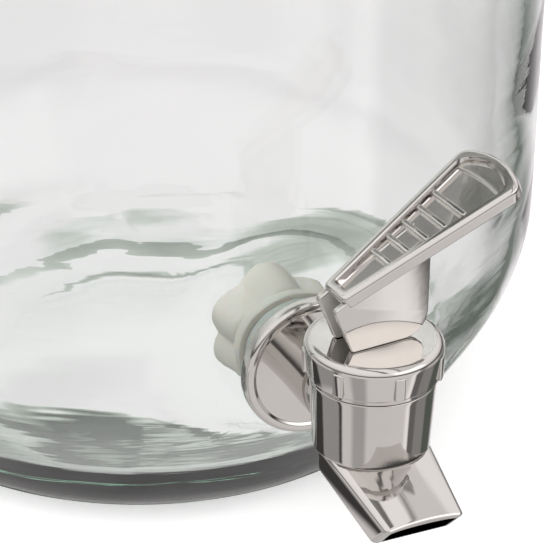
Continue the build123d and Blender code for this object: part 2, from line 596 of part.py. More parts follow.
def make_pieces():
    """Every piece of the dispenser by its node name."""
    return {
        "glass_jar": make_glass_jar(),
        "lid_band": make_lid_band(),
        "lid_disc": make_lid_disc(),
        "lid_gasket": make_lid_gasket(),
        "tap_body": make_tap_body(),
        "wall_flange": make_wall_flange(),
        "outer_seal": make_shank_seal(SEAL_RADIUS, PAD_FACE, PAD_FACE + SEAL_THICKNESS),
        "inner_seal": make_shank_seal(INNER_SEAL_RADIUS, NUT_FACE, PAD_BACK),
        "lobed_nut": make_lobed_nut(),
        "bonnet": make_bonnet(),
        "bonnet_seal": make_bonnet_seal(),
        "stem_seal": make_stem_seal(),
        "valve_stem": make_valve_stem(),
        "pivot_pin": pivot_rod(PIN_RADIUS, FORK_HALF_GAP + PIN_SOCKET),
        "seat_plug": make_seat_plug(),
        "return_spring": make_return_spring(),
        "lever": make_lever(),
    }


os.makedirs("parts", exist_ok=True)
for node, piece in make_pieces().items():
    piece.label = node
    export_step(piece, os.path.join("parts", node + ".step"))
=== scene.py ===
"""Dresses the glass beverage dispenser: glass, plating, plastic, seals and lid, on a pale studio stage."""

import math

import bmesh
import bpy
import numpy as np
from bpy.props import FloatProperty, FloatVectorProperty, IntProperty, PointerProperty
from mathutils import Matrix, Vector


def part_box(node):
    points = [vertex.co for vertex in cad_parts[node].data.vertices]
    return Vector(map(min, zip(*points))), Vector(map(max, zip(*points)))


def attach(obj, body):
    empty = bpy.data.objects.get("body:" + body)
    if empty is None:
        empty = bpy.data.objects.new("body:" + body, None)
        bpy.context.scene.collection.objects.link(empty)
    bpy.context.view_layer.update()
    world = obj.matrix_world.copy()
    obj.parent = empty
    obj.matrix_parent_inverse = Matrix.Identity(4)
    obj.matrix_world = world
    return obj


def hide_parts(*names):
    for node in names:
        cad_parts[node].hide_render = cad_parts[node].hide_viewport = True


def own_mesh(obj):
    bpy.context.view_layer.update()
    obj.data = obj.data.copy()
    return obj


bl_info = {
    "name": "Glass beverage dispenser",
    "version": (1, 0, 0),
    "blender": (4, 5, 0),
    "location": "3D View > Sidebar > Dispenser",
    "description": "Builds the looks of a glass drinks jar with a chromed lever tap",
    "category": "Object",
}

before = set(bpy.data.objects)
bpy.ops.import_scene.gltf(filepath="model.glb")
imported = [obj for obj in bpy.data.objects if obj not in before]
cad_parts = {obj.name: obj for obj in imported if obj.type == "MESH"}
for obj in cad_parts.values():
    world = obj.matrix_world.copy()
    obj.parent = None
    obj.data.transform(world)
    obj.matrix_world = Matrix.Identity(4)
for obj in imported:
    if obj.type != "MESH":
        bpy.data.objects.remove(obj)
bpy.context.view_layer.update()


def middle(node):
    """Centre of a node's box at rest."""
    low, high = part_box(node)
    return (low + high) / 2


JAR_LOW, JAR_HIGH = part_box("glass_jar")
FLANGE_LOW, FLANGE_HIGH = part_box("wall_flange")
NUT_LOW, NUT_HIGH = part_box("lobed_nut")
BONNET_LOW, BONNET_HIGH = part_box("bonnet")
BAND_LOW, BAND_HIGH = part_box("lid_band")
DISC_LOW, DISC_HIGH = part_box("lid_disc")
GASKET_LOW, GASKET_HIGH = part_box("lid_gasket")
BODY_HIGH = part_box("tap_body")[1]
JAR_RADIUS = JAR_HIGH.x
JAR_TOP = JAR_HIGH.z
PAD_FACE = -JAR_LOW.y
PAD_BACK = -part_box("inner_seal")[0].y
SHANK_Z = middle("wall_flange").z
TAP_Y = middle("bonnet").y
PIN = middle("pivot_pin")
QUARTER = math.pi / 2
UPRIGHT = Matrix.Rotation(QUARTER, 4, "X")
TAP_AXIS = Matrix.Translation((0, TAP_Y, 0))
SHANK_AXIS = Matrix.Translation((0, 0, SHANK_Z)) @ UPRIGHT
ROUND_STEPS = 5
ARC_STEPS = 24
SEGMENTS = 128
CREASE = 30.0
BOX_SLACK = 0.002
WELD = 0.000002
SAME_POINT = 1e-7
CUT_PAST = 0.001
FIT = 0.0001
DISH = 0.0006
LEAST_LEAN = 0.3
FLAT = (1.0, 1.0, 0.0)


def length(name, description, default):
    """A size in metres."""
    return FloatProperty(name=name, description=description, default=default, precision=5, unit="LENGTH")


def angle(name, description, degrees):
    """A turn, kept in radians."""
    return FloatProperty(name=name, description=description, default=math.radians(degrees), unit="ROTATION")


def share(name, description, default):
    """A plain number."""
    return FloatProperty(name=name, description=description, default=default, precision=4)


def colour(name, description, default):
    """A scene-linear colour."""
    return FloatVectorProperty(name=name, description=description, default=default, subtype="COLOR", min=0, max=1)


class GlassSettings(bpy.types.PropertyGroup):
    """Sizes and tint of the jar."""

    wall: length("Wall", "Thickness of the side", 0.0045)
    floor: length("Floor", "Thickness of the foot", 0.008)
    heel_slope: angle("Heel slope", "Lean of the heel's straight stretch from upright", 31)
    heel_upper: length("Upper heel radius", "Bend from the side into the heel", 0.053)
    heel_cone: length("Heel cone", "Straight stretch of the heel", 0.021)
    heel_lower: length("Lower heel radius", "Bend from the heel into the foot", 0.031)
    heel_inner: length("Inner heel radius", "Bend of the hollow into its floor", 0.036)
    foot: length("Foot ring", "Width of the ring that stands on the table", 0.011)
    punt: length("Punt", "Rise of the domed foot", 0.004)
    shoulder: length("Shoulder radius", "Bend from the side into the shoulder", 0.036)
    shoulder_turn: angle("Shoulder turn", "How far the shoulder bends over", 72)
    flare: length("Flare radius", "Bend from the shoulder into the neck", 0.008)
    neck: length("Neck radius", "Outside of the neck", 0.058)
    neck_height: length("Neck height", "Straight neck above the flare", 0.024)
    rim: length("Rim round", "Rounding of the mouth's rim", 0.0018)
    pad: length("Pad radius", "Flat round the tap hole", 0.016)
    hole: length("Hole radius", "Hole for the tap's shank", 0.008)
    pitch: length("Thread pitch", "Rise of the neck thread in one turn", 0.006)
    thread: length("Thread depth", "How far the neck thread stands out", 0.0018)
    ripple: length("Ripple", "Unevenness of the blown inside", 0.0006)
    tint: colour("Tint", "Colour that thick glass takes", (0.62, 0.86, 0.74))
    depth: share("Tint depth", "Absorption per metre", 17.0)


class TapSettings(bpy.types.PropertyGroup):
    """Sizes of the tap's visible pieces."""

    barrel_top: length("Barrel top radius", "Barrel under the bonnet", 0.0137)
    barrel_low: length("Barrel low radius", "Barrel above the spout", 0.0128)
    barrel_drop: length("Barrel drop", "Barrel's lower edge below the shank's axis", 0.0019)
    barrel_height: length("Barrel height", "Barrel from its lower edge to the bonnet", 0.0165)
    spigot: length("Spigot radius", "Screwed top inside the bonnet", 0.0122)
    chamber: length("Chamber radius", "Hollow of the valve", 0.0085)
    neck: length("Neck radius", "Tube from the flange to the barrel", 0.0074)
    shank: length("Shank radius", "Tube through the glass", 0.0065)
    bore: length("Bore radius", "Way through the shank", 0.0036)
    bowl: length("Bowl radius", "Round underside of the barrel", 0.009)
    spout_length: length("Spout length", "Top lip forward of the barrel", 0.0141)
    spout_width: length("Spout half width", "Half width at the mouth", 0.0093)
    mouth_height: length("Mouth height", "Height of the slanted mouth", 0.0079)
    mouth_rake: length("Mouth rake", "How far the lower lip stands back", 0.0067)
    spout_slope: angle("Spout slope", "Fall of the spout's top face", 18)
    spout_bevel: length("Spout lip crown", "Crown of the spout's top at its lip", 0.0009)
    spout_crown: length("Spout root crown", "Crown of the spout's top under the barrel", 0.0034)
    spout_wall: length("Spout wall", "Thickness round the mouth", 0.0016)
    spring_wire: length("Spring wire", "Radius of the return spring's wire", 0.0004)
    spring_turns: FloatProperty(name="Spring turns", description="Turns of the return spring", default=7.0, min=3.0)
    ribs: IntProperty(name="Bonnet ribs", description="Grip ribs round the bonnet", default=7, min=1)
    rib_turn: angle("Rib turn", "Where the first rib stands", 8.3)
    lever_turn: angle("Lever turn", "Way the handle points, from +X", 5)
    lever_incline: angle("Lever incline", "Rise of the handle", 28)
    handle_length: length("Handle length", "Handle from its nose to its wide end", 0.046)
    handle_end: length("Handle half width", "Half width of the wide end", 0.011)
    handle_rim: length("Handle rim", "Bright rim round the grip panel", 0.0021)
    cheek: length("Cheek half width", "Half width over the two cheeks", 0.0042)
    bars: IntProperty(name="Grip bars", description="Bars across the grip panel", default=5, min=1)
    lobes: IntProperty(name="Nut lobes", description="Lobes of the nut in the jar", default=6, min=3)
    lobe_turn: angle("Lobe turn", "Where the first lobe stands", 35)


class LidSettings(bpy.types.PropertyGroup):
    """Sizes of the screw lid."""

    sheet: length("Sheet", "Thickness of the pressed band", 0.0012)
    bead: length("Bead", "Radius of the rolled lower edge", 0.0013)
    lip: length("Lip", "Inward reach of the band's top", 0.0104)
    ring_inset: length("Ring inset", "Raised ring of the disc, in from the band's lip", 0.006)
    ring_width: length("Ring width", "Half width of the raised ring", 0.003)


class FinishSettings(bpy.types.PropertyGroup):
    """Colours of the finishes."""

    chrome: colour("Chrome", "Mirror plating", (0.62, 0.6, 0.575))
    plastic: colour("Plastic", "Off-white moulding of the nut", (1.0, 0.95, 0.86))
    silicone: colour("Silicone", "Pale washers and seals", (0.82, 0.81, 0.78))
    steel: colour("Steel", "Stem, pin and spring", (0.62, 0.62, 0.62))
    lid: colour("Lid metal", "Satin lid", (0.68, 0.68, 0.67))


class StageSettings(bpy.types.PropertyGroup):
    """Camera, floor and light."""

    camera_place: FloatVectorProperty(
        name="Camera", description="Camera's place", default=(-0.20917, -0.5408, 0.34625), unit="LENGTH"
    )
    camera_yaw: angle("Yaw", "Camera's turn from +Y", -24.55)
    camera_pitch: angle("Pitch", "Camera's tilt down", 28.649)
    camera_roll: angle("Roll", "Camera's lean", 0.787)
    focal_pixels: share("Focal length", "Focal length in pixels of a 550 pixel frame", 2500)
    floor_size: length("Floor", "Half width of the floor", 6.0)
    floor_glow: share("Floor glow", "Light that the floor gives off like a light table", 0.4)
    floor_colour: colour("Floor colour", "Pale floor", (0.88, 0.88, 0.88))


SETTINGS = {
    "dispenser_glass": GlassSettings,
    "dispenser_tap": TapSettings,
    "dispenser_lid": LidSettings,
    "dispenser_finish": FinishSettings,
    "dispenser_stage": StageSettings,
}


def rounded(corners):
    """Points of a closed outline of (x, y, radius) corners, each rounded by an arc."""
    points = []
    count = len(corners)
    for index, (x, y, radius) in enumerate(corners):
        if radius <= 0:
            points.append((x, y))
            continue
        here = Vector((x, y))
        before = (Vector(corners[index - 1][:2]) - here).normalized()
        after = (Vector(corners[(index + 1) % count][:2]) - here).normalized()
        half = before.angle(after) / 2
        centre = here + (before + after).normalized() * radius / math.sin(half)
        start = here + before * radius / math.tan(half) - centre
        sweep = start.angle_signed(here + after * radius / math.tan(half) - centre)
        for step in range(ROUND_STEPS + 1):
            turn = Matrix.Rotation(-sweep * step / ROUND_STEPS, 2)
            points.append(tuple(centre + turn @ start))
    return points


def arc(start, heading, radius, turn):
    """Points along an arc from a start, and the heading at its end; a positive turn bends left."""
    side = math.copysign(1, turn)
    centre = Vector(start) + radius * side * Vector((-math.sin(heading), math.cos(heading)))
    points = []
    for step in range(1, ARC_STEPS + 1):
        way = heading + turn * step / ARC_STEPS
        points.append(tuple(centre - radius * side * Vector((-math.sin(way), math.cos(way)))))
    return points, heading + turn


def between(low, high, part):
    """Value at a share of the way between two others."""
    return low + (high - low) * part


def eased(value, start, stop):
    """How far a value is on the way from start to stop, from 0 to 1."""
    return min(max((value - start) / (stop - start), 0.0), 1.0)


def bridge(faces, *loops):
    """Adds faces between successive closed loops of equal count, leaving out repeated corners."""
    for here, there in zip(loops, loops[1:]):
        count = len(here)
        for index in range(count):
            after = (index + 1) % count
            face = list(dict.fromkeys((here[index], here[after], there[after], there[index])))
            if len(face) > 2:
                faces.append(face)


def ring_row(vertices, columns, radius, height):
    """Adds one ring of points and returns their numbers."""
    first = len(vertices)
    for column in range(columns):
        turn = 2 * math.pi * column / columns
        vertices.append((radius * math.cos(turn), radius * math.sin(turn), height))
    return list(range(first, first + columns))


def lathe(profile, segments=SEGMENTS):
    """Vertices and faces of a closed (radius, height) outline turned about Z."""
    vertices, faces, rings = [], [], []
    for radius, height in profile:
        count = 1 if radius < SAME_POINT else segments
        rings.append(ring_row(vertices, count, radius, height) * (segments // count))
    bridge(faces, *rings, rings[0])
    return vertices, faces


def ring_corners(inner, outer, low, high, inner_round=0, outer_round=0):
    """Corners of a ring's section, or of a rod's where the inner radius is 0."""
    return [
        (inner, low, inner_round), (outer, low, outer_round), (outer, high, outer_round), (inner, high, inner_round),
    ]


def inset_outline(outline, inset):
    """A closed outline moved inwards by a distance."""
    points = []
    count = len(outline)
    for index, point in enumerate(outline):
        here = Vector(point)
        before = (here - Vector(outline[index - 1])).normalized()
        after = (Vector(outline[(index + 1) % count]) - here).normalized()
        inwards = Vector((-before.y - after.y, before.x + after.x)).normalized()
        lean = max(inwards.dot(Vector((-before.y, before.x))), LEAST_LEAN)
        points.append(here + inwards * inset / lean)
    return points


def stack(outline, layers):
    """Vertices and faces of an outline's insets at rising heights, closed at both ends."""
    vertices, rows = [], []
    for inset, height in layers:
        rows.append(range(len(vertices), len(vertices) + len(outline)))
        vertices += [(point.x, point.y, height) for point in inset_outline(outline, inset)]
    faces = [list(reversed(rows[0]))]
    bridge(faces, *rows)
    faces.append(list(rows[-1]))
    return vertices, faces


def slab_layers(low, high, radius):
    """Layers of a plate with rounded edges between two heights."""
    turns = [QUARTER * step / ROUND_STEPS for step in range(ROUND_STEPS + 1)]
    bends = [(radius * (1 - math.sin(turn)), radius * (1 - math.cos(turn))) for turn in turns]
    lower = [(inset, low + rise) for inset, rise in bends]
    return lower + [(inset, high - rise) for inset, rise in reversed(bends)]


def mesh_piece(name, shape, place, material, crease=CREASE):
    """An object with its place in its mesh, faces outwards and sharp edges kept."""
    vertices, faces = shape
    mesh = bpy.data.meshes.new(name)
    mesh.from_pydata([tuple(place @ Vector(vertex)) for vertex in vertices], [], faces)
    work = bmesh.new()
    work.from_mesh(mesh)
    bmesh.ops.remove_doubles(work, verts=work.verts, dist=SAME_POINT)
    bmesh.ops.recalc_face_normals(work, faces=work.faces)
    work.to_mesh(mesh)
    work.free()
    return linked(name, mesh, material, crease)


def turned(name, corners, axis, material, segments=SEGMENTS):
    """A piece turned about an axis from (radius, height, rounding) corners."""
    return mesh_piece(name, lathe(rounded(corners), segments), axis, material)


def smooth(mesh, crease=CREASE):
    """Makes faces smooth and keeps sharp edges."""
    mesh.polygons.foreach_set("use_smooth", [True] * len(mesh.polygons))
    mesh.set_sharp_from_angle(angle=math.radians(crease))


def paint(mesh, material):
    """Gives a mesh one material."""
    mesh.materials.clear()
    mesh.materials.append(material)


def linked(name, mesh, material, crease=CREASE):
    """An object of a mesh with smooth faces, sharp edges and one material."""
    smooth(mesh, crease)
    paint(mesh, material)
    piece = bpy.data.objects.new(name, mesh)
    bpy.context.scene.collection.objects.link(piece)
    return piece


def plain_mesh(piece):
    """The evaluated piece as a plain mesh."""
    bpy.context.view_layer.update()
    graph = bpy.context.evaluated_depsgraph_get()
    mesh = bpy.data.meshes.new_from_object(piece.evaluated_get(graph))
    if not mesh.polygons:
        raise RuntimeError("%s came out empty" % piece.name)
    return mesh


def combine(piece, tools, operation):
    """Adds closed tools to a piece or cuts them out of it; the tools are used up."""
    for tool in tools:
        change = piece.modifiers.new("combine", "BOOLEAN")
        change.operation = operation
        change.object = tool
        change.solver = "MANIFOLD"
        mesh = plain_mesh(piece)
        piece.modifiers.remove(change)
        old = piece.data
        piece.data = mesh
        bpy.data.meshes.remove(old)
        drop(tool)
    piece.data.name = piece.name
    weld(piece.data)
    smooth(piece.data)


def weld(mesh):
    """Closes hairline gaps and slivers that a cut leaves."""
    work = bmesh.new()
    work.from_mesh(mesh)
    bmesh.ops.remove_doubles(work, verts=work.verts, dist=WELD)
    bmesh.ops.dissolve_degenerate(work, dist=WELD, edges=work.edges)
    work.to_mesh(mesh)
    work.free()


def drop(piece):
    """Removes a helper object and its mesh."""
    mesh = piece.data
    bpy.data.objects.remove(piece)
    bpy.data.meshes.remove(mesh)


def check_box(piece, node):
    """Stops where a piece doesn't fill the box of the node that it stands for."""
    low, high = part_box(node)
    for axis in range(3):
        places = [vertex.co[axis] for vertex in piece.data.vertices]
        if max(abs(min(places) - low[axis]), abs(max(places) - high[axis])) > BOX_SLACK:
            raise RuntimeError("%s doesn't fill the box of %s" % (piece.name, node))


def settle(piece, body, slot, *nodes):
    """Lets a finished piece ride on its body and stand for its nodes."""
    for node in nodes:
        check_box(piece, node)
    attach(piece, body)
    if nodes:
        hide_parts(*nodes)


class Nodes:
    """A node tree under construction, with the coordinates that its patterns follow."""

    def __init__(self, tree, coordinates=None):
        self.tree = tree
        if coordinates:
            self.where = self.node("ShaderNodeTexCoord").outputs[coordinates]

    def node(self, kind, inputs=None, **options):
        """Adds a node with these options and inputs."""
        node = self.tree.nodes.new(kind)
        for option, value in options.items():
            setattr(node, option, value)
        self.feed(node, inputs or {})
        return node

    def feed(self, node, inputs):
        """Gives a node's inputs links or constants."""
        for socket, value in inputs.items():
            if isinstance(value, bpy.types.NodeSocket):
                self.tree.links.new(value, node.inputs[socket])
            else:
                node.inputs[socket].default_value = value

    def math(self, operation, *values):
        """Result of a sum over links and plain numbers."""
        return self.node("ShaderNodeMath", dict(enumerate(values)), operation=operation).outputs[0]

    def vector(self, operation, *values):
        """Result of a sum over vectors."""
        node = self.node("ShaderNodeVectorMath", dict(enumerate(values)), operation=operation)
        return node.outputs["Value" if operation == "LENGTH" else "Vector"]

    def split(self, vector):
        """X, Y and Z of a vector."""
        return self.node("ShaderNodeSeparateXYZ", {0: vector}).outputs

    def joined(self, **axes):
        """A vector of its X, Y and Z."""
        return self.node("ShaderNodeCombineXYZ", axes).outputs[0]

    def stretched(self, scale, where=None):
        """Coordinates scaled apart along the axes."""
        return self.node("ShaderNodeMapping", {"Scale": scale, "Vector": where or self.where}).outputs["Vector"]

    def noise(self, scale, detail, where=None):
        """A noise pattern's value."""
        inputs = {"Scale": scale, "Detail": detail, "Vector": where or self.where}
        return self.node("ShaderNodeTexNoise", inputs).outputs["Fac"]

    def spread(self, value, low, high, start=0.3, stop=0.7, **options):
        """A value's stretch from start to stop brought to a range."""
        inputs = {"Value": value, "From Min": start, "From Max": stop, "To Min": low, "To Max": high}
        return self.node("ShaderNodeMapRange", inputs, **options).outputs["Result"]

    def mixed(self, factor, first, second):
        """Two colours mixed by a factor."""
        inputs = {"Factor": factor, "A": first, "B": second}
        return self.node("ShaderNodeMix", inputs, data_type="RGBA").outputs["Result"]


class Growth(Nodes):
    """A geometry node tree with named inputs, which ends in a mesh of one material."""

    def __init__(self, name, **kinds):
        super().__init__(bpy.data.node_groups.new(name, "GeometryNodeTree"))
        face = self.tree.interface
        face.new_socket("Geometry", in_out="OUTPUT", socket_type="NodeSocketGeometry")
        for label, kind in (*kinds.items(), ("Material", "Material")):
            face.new_socket(label, in_out="INPUT", socket_type="NodeSocket" + kind)
        self.given = self.node("NodeGroupInput").outputs

    def end(self, shape):
        """Closes the tree with its result."""
        real = self.node("GeometryNodeRealizeInstances", {0: shape}).outputs[0]
        inputs = {"Geometry": real, "Material": self.given["Material"]}
        self.node("NodeGroupOutput", {0: self.node("GeometryNodeSetMaterial", inputs).outputs[0]})
        return self.tree


def repeat_tree(name, ring):
    """Node tree that repeats a shape round Z, or along X where ring is false; each copy may grow along Y."""
    tree = Growth(name, Shape="Object", Count="Int", Spacing="Float", Start="Float", Growth="Float")
    given = tree.given
    shape = tree.node("GeometryNodeObjectInfo", {"Object": given["Shape"]}).outputs["Geometry"]
    index = tree.node("GeometryNodeInputIndex").outputs[0]
    step = tree.math("MULTIPLY_ADD", index, given["Spacing"], given["Start"])
    growth = tree.math("MULTIPLY_ADD", index, given["Growth"], 1.0)
    points = tree.node("GeometryNodePoints", {"Count": given["Count"]})
    inputs = {"Points": points.outputs[0], "Instance": shape, "Scale": tree.joined(X=1.0, Y=growth, Z=1.0)}
    spots = tree.node("GeometryNodeInstanceOnPoints", inputs)
    if ring:
        tree.feed(spots, {"Rotation": tree.joined(Z=step)})
    else:
        tree.feed(points, {"Position": tree.joined(X=step)})
    return tree.end(spots.outputs[0])


def coil_tree(name):
    """Node tree that winds a round wire upwards into a coil."""
    tree = Growth(name, Turns="Float", Radius="Float", Height="Float", Wire="Float")
    given = tree.given
    path = tree.node("GeometryNodeCurveSpiral", {
        "Resolution": 40, "Rotations": given["Turns"], "Start Radius": given["Radius"],
        "End Radius": given["Radius"], "Height": given["Height"],
    })
    wire = tree.node("GeometryNodeCurvePrimitiveCircle", {"Resolution": 16, "Radius": given["Wire"]})
    wound = {"Curve": path.outputs[0], "Profile Curve": wire.outputs["Curve"], "Fill Caps": True}
    return tree.end(tree.node("GeometryNodeCurveToMesh", wound).outputs[0])


def repeated(name, shape, ring, place, material, **values):
    """A plain mesh of a shape repeated by a node tree; the shape object is used up."""
    piece = grown(name, repeat_tree(name, ring), {"Shape": shape, **values}, material, place)
    drop(shape)
    return piece


def grown(name, tree, values, material, place):
    """A plain mesh grown by a node tree from these input values."""
    holder = bpy.data.objects.new(name, bpy.data.meshes.new(name))
    bpy.context.scene.collection.objects.link(holder)
    grow = holder.modifiers.new("grow", "NODES")
    grow.node_group = tree
    for item in tree.interface.items_tree:
        if item.in_out == "INPUT":
            grow[item.identifier] = material if item.name == "Material" else values[item.name]
    mesh = plain_mesh(holder)
    drop(holder)
    bpy.data.node_groups.remove(tree)
    mesh.transform(place)
    mesh.name = name
    return linked(name, mesh, material)


class Finish(Nodes):
    """A node material with a principled shader over object coordinates."""

    def __init__(self, name, base, metallic, roughness):
        self.material = bpy.data.materials.new(name)
        self.material.use_nodes = True
        super().__init__(self.material.node_tree, "Object")
        self.base = tuple(base)
        self.surface({"Base Color": (*base, 1.0), "Metallic": metallic, "Roughness": roughness})

    def surface(self, inputs):
        """Gives the shader's inputs links or constants."""
        self.feed(self.tree.nodes["Principled BSDF"], inputs)

    def shade(self, factor):
        """The base colour made darker or lighter."""
        return (*(min(channel * factor, 1.0) for channel in self.base), 1.0)

    def bump(self, value, strength, distance):
        """Roughens the surface's normal by a pattern."""
        inputs = {"Strength": strength, "Distance": distance, "Height": value}
        self.surface({"Normal": self.node("ShaderNodeBump", inputs).outputs["Normal"]})

    def worn(self, tone, gloss, relief):
        """Material with an uneven tone, gloss and relief: a pattern and two numbers for each."""
        pattern, dark, light = tone
        self.surface({"Base Color": self.mixed(pattern, self.shade(dark), self.shade(light))})
        if gloss:
            self.surface({"Roughness": self.spread(*gloss)})
        if relief:
            self.bump(*relief)
        return self.material


def once(maker):
    """A material by its maker's name, made on first use."""
    return bpy.data.materials.get(maker.__name__) or maker(maker.__name__)


def clear_glass(name):
    """Clear glass with a green depth, faint ripples and a few hazy spots."""
    glass = bpy.context.scene.dispenser_glass
    finish = Finish(name, (1.0, 1.0, 1.0), 0.0, 0.0)
    haze = finish.spread(finish.noise(60.0, 4.0), 0.0, 0.03, 0.55, 0.85)
    finish.surface({"Transmission Weight": 1.0, "IOR": 1.5, "Roughness": haze})
    finish.bump(heel_streaks(finish), 1.0, 0.0016)
    tint = finish.node("ShaderNodeVolumeAbsorption", {"Color": (*glass.tint, 1.0), "Density": glass.depth})
    finish.feed(finish.tree.nodes["Material Output"], {"Volume": tint.outputs["Volume"]})
    return finish.material


def heel_streaks(finish):
    """Height pattern of the pressed glass: streaks round the thick heel, fainter waves up the side."""
    reach, scale, fine_stretch, fine_share, side_share = 0.06, 42.0, (0.8, 0.8, 6.0), 0.045, 0.3
    heel_top, floor_edge = (0.03, 0.085), (0.058, 0.075)
    flat = finish.stretched(FLAT)
    rise = finish.split(finish.where)["Z"]
    ring = finish.vector("MULTIPLY_ADD", finish.vector("NORMALIZE", flat), (reach, reach, 0.0), finish.joined(Z=rise))
    streaks = finish.noise(scale, 1.0, ring)
    fine = finish.noise(scale, 2.0, finish.stretched(fine_stretch, ring))
    both = finish.math("MULTIPLY_ADD", fine, fine_share, streaks)
    amount = finish.math("MULTIPLY", both, finish.spread(rise, 1.0, side_share, *heel_top))
    outside = finish.spread(finish.vector("LENGTH", flat), 0.0, 1.0, *floor_edge)
    return finish.math("MULTIPLY", amount, outside)


def mirror_chrome(name):
    """Mirror plating with a faint warm unevenness, wipe marks and a slightly rippled skin."""
    finish = Finish(name, bpy.context.scene.dispenser_finish.chrome, 1.0, 0.05)
    wipe = finish.noise(420.0, 5.0, finish.stretched((1.0, 1.0, 0.12)))
    ripple = finish.noise(160.0, 2.0)
    return finish.worn((finish.noise(90.0, 4.0), 0.95, 1.04), (wipe, 0.025, 0.085), (ripple, 0.03, 0.0006))


def thin_plating(name):
    """Duller, darker plating on the faces between the lever's cheeks, under its handle."""
    darkening = 0.8
    base = [channel * darkening for channel in bpy.context.scene.dispenser_finish.chrome]
    finish = Finish(name, base, 0.45, 0.5)
    cloud, grain = finish.noise(150.0, 4.0), finish.noise(700.0, 3.0)
    return finish.worn((cloud, 0.85, 1.1), (cloud, 0.35, 0.6), (grain, 0.1, 0.0003))


def moulded_plastic(name):
    """Off-white moulded plastic, a little translucent, with a fine sandy skin."""
    finish = Finish(name, bpy.context.scene.dispenser_finish.plastic, 0.0, 0.5)
    finish.surface({"Subsurface Weight": 0.25, "Subsurface Scale": 0.003})
    cloud, grain = finish.noise(110.0, 3.0), finish.noise(2600.0, 2.0)
    return finish.worn((cloud, 0.93, 1.05), (cloud, 0.42, 0.58), (grain, 0.15, 0.0002))


def pale_silicone(name):
    """Soft pale silicone with a dusty bloom."""
    finish = Finish(name, bpy.context.scene.dispenser_finish.silicone, 0.0, 0.6)
    finish.surface({"Subsurface Weight": 0.35, "Subsurface Scale": 0.004})
    bloom, grain = finish.noise(240.0, 4.0), finish.noise(1800.0, 2.0)
    return finish.worn((bloom, 0.92, 1.04), (bloom, 0.5, 0.72), (grain, 0.1, 0.0002))


def drawn_steel(name):
    """Steel with fine lines from drawing along Z."""
    finish = Finish(name, bpy.context.scene.dispenser_finish.steel, 1.0, 0.3)
    lines = finish.noise(900.0, 3.0, finish.stretched((1.0, 1.0, 0.04)))
    return finish.worn((lines, 0.88, 1.08), (lines, 0.2, 0.4), (lines, 0.08, 0.0003))


def satin_lid(name):
    """Satin tinned steel with turning marks round the axis and a few scuffs."""
    finish = Finish(name, bpy.context.scene.dispenser_finish.lid, 1.0, 0.3)
    reach = finish.vector("LENGTH", finish.stretched(FLAT))
    marks = finish.noise(1500.0, 2.0, finish.joined(X=reach, Y=finish.split(finish.where)["Z"]))
    return finish.worn((finish.noise(45.0, 5.0), 0.86, 1.06), (marks, 0.22, 0.4), (marks, 0.08, 0.0003))


def pale_floor(name):
    """Matt pale floor with a barely uneven tone and a glow."""
    stage = bpy.context.scene.dispenser_stage
    finish = Finish(name, stage.floor_colour, 0.0, 0.9)
    finish.surface({"Emission Color": (1.0, 1.0, 1.0, 1.0), "Emission Strength": stage.floor_glow})
    return finish.worn((finish.noise(3.0, 2.0), 0.99, 1.01), None, None)


def ahead(point, heading, distance):
    """Point straight ahead of another."""
    return tuple(Vector(point) + Vector((math.cos(heading), math.sin(heading))) * distance)


def foot_and_side(settings, start, lower, cone, inset):
    """Jar outline from the foot up heel, side and shoulder into the neck, as (radius, height) points."""
    slope, lean = settings.heel_slope, settings.shoulder_turn
    run, rise = shoulder_span(settings)
    points = [start]
    bend, heading = arc(start, 0.0, lower, QUARTER - slope)
    points += bend
    points.append(ahead(points[-1], heading, cone))
    bend, heading = arc(points[-1], heading, settings.heel_upper - inset, slope)
    points += bend
    points.append((points[-1][0], JAR_TOP - settings.neck_height - rise))
    bend, heading = arc(points[-1], heading, settings.shoulder - inset, lean)
    points += bend
    points.append(ahead(points[-1], heading, run))
    return points + arc(points[-1], heading, settings.flare + inset, -lean)[0]


def shoulder_span(settings):
    """Length of the shoulder's straight stretch and the height that the whole shoulder takes."""
    bends, turn = settings.shoulder + settings.flare, settings.shoulder_turn
    run = (JAR_RADIUS - settings.neck - bends * (1 - math.cos(turn))) / math.sin(turn)
    return run, bends * math.sin(turn) + run * math.cos(turn)


def heel_span(slope, upper, cone, lower):
    """Reach inwards and rise of a heel of two bends and the straight stretch between them."""
    reach = upper * (1 - math.cos(slope)) + cone * math.sin(slope) + lower * math.cos(slope)
    return reach, upper * math.sin(slope) + cone * math.cos(slope) + lower * (1 - math.sin(slope))


def sampled(points, places):
    """Points of an outline at distances along it."""
    line = np.array(points)
    steps = np.hypot(*np.diff(line, axis=0).T)
    along = np.concatenate([[0.0], np.cumsum(steps)])
    return np.stack([np.interp(places, along, line[:, 0]), np.interp(places, along, line[:, 1])], axis=1), along


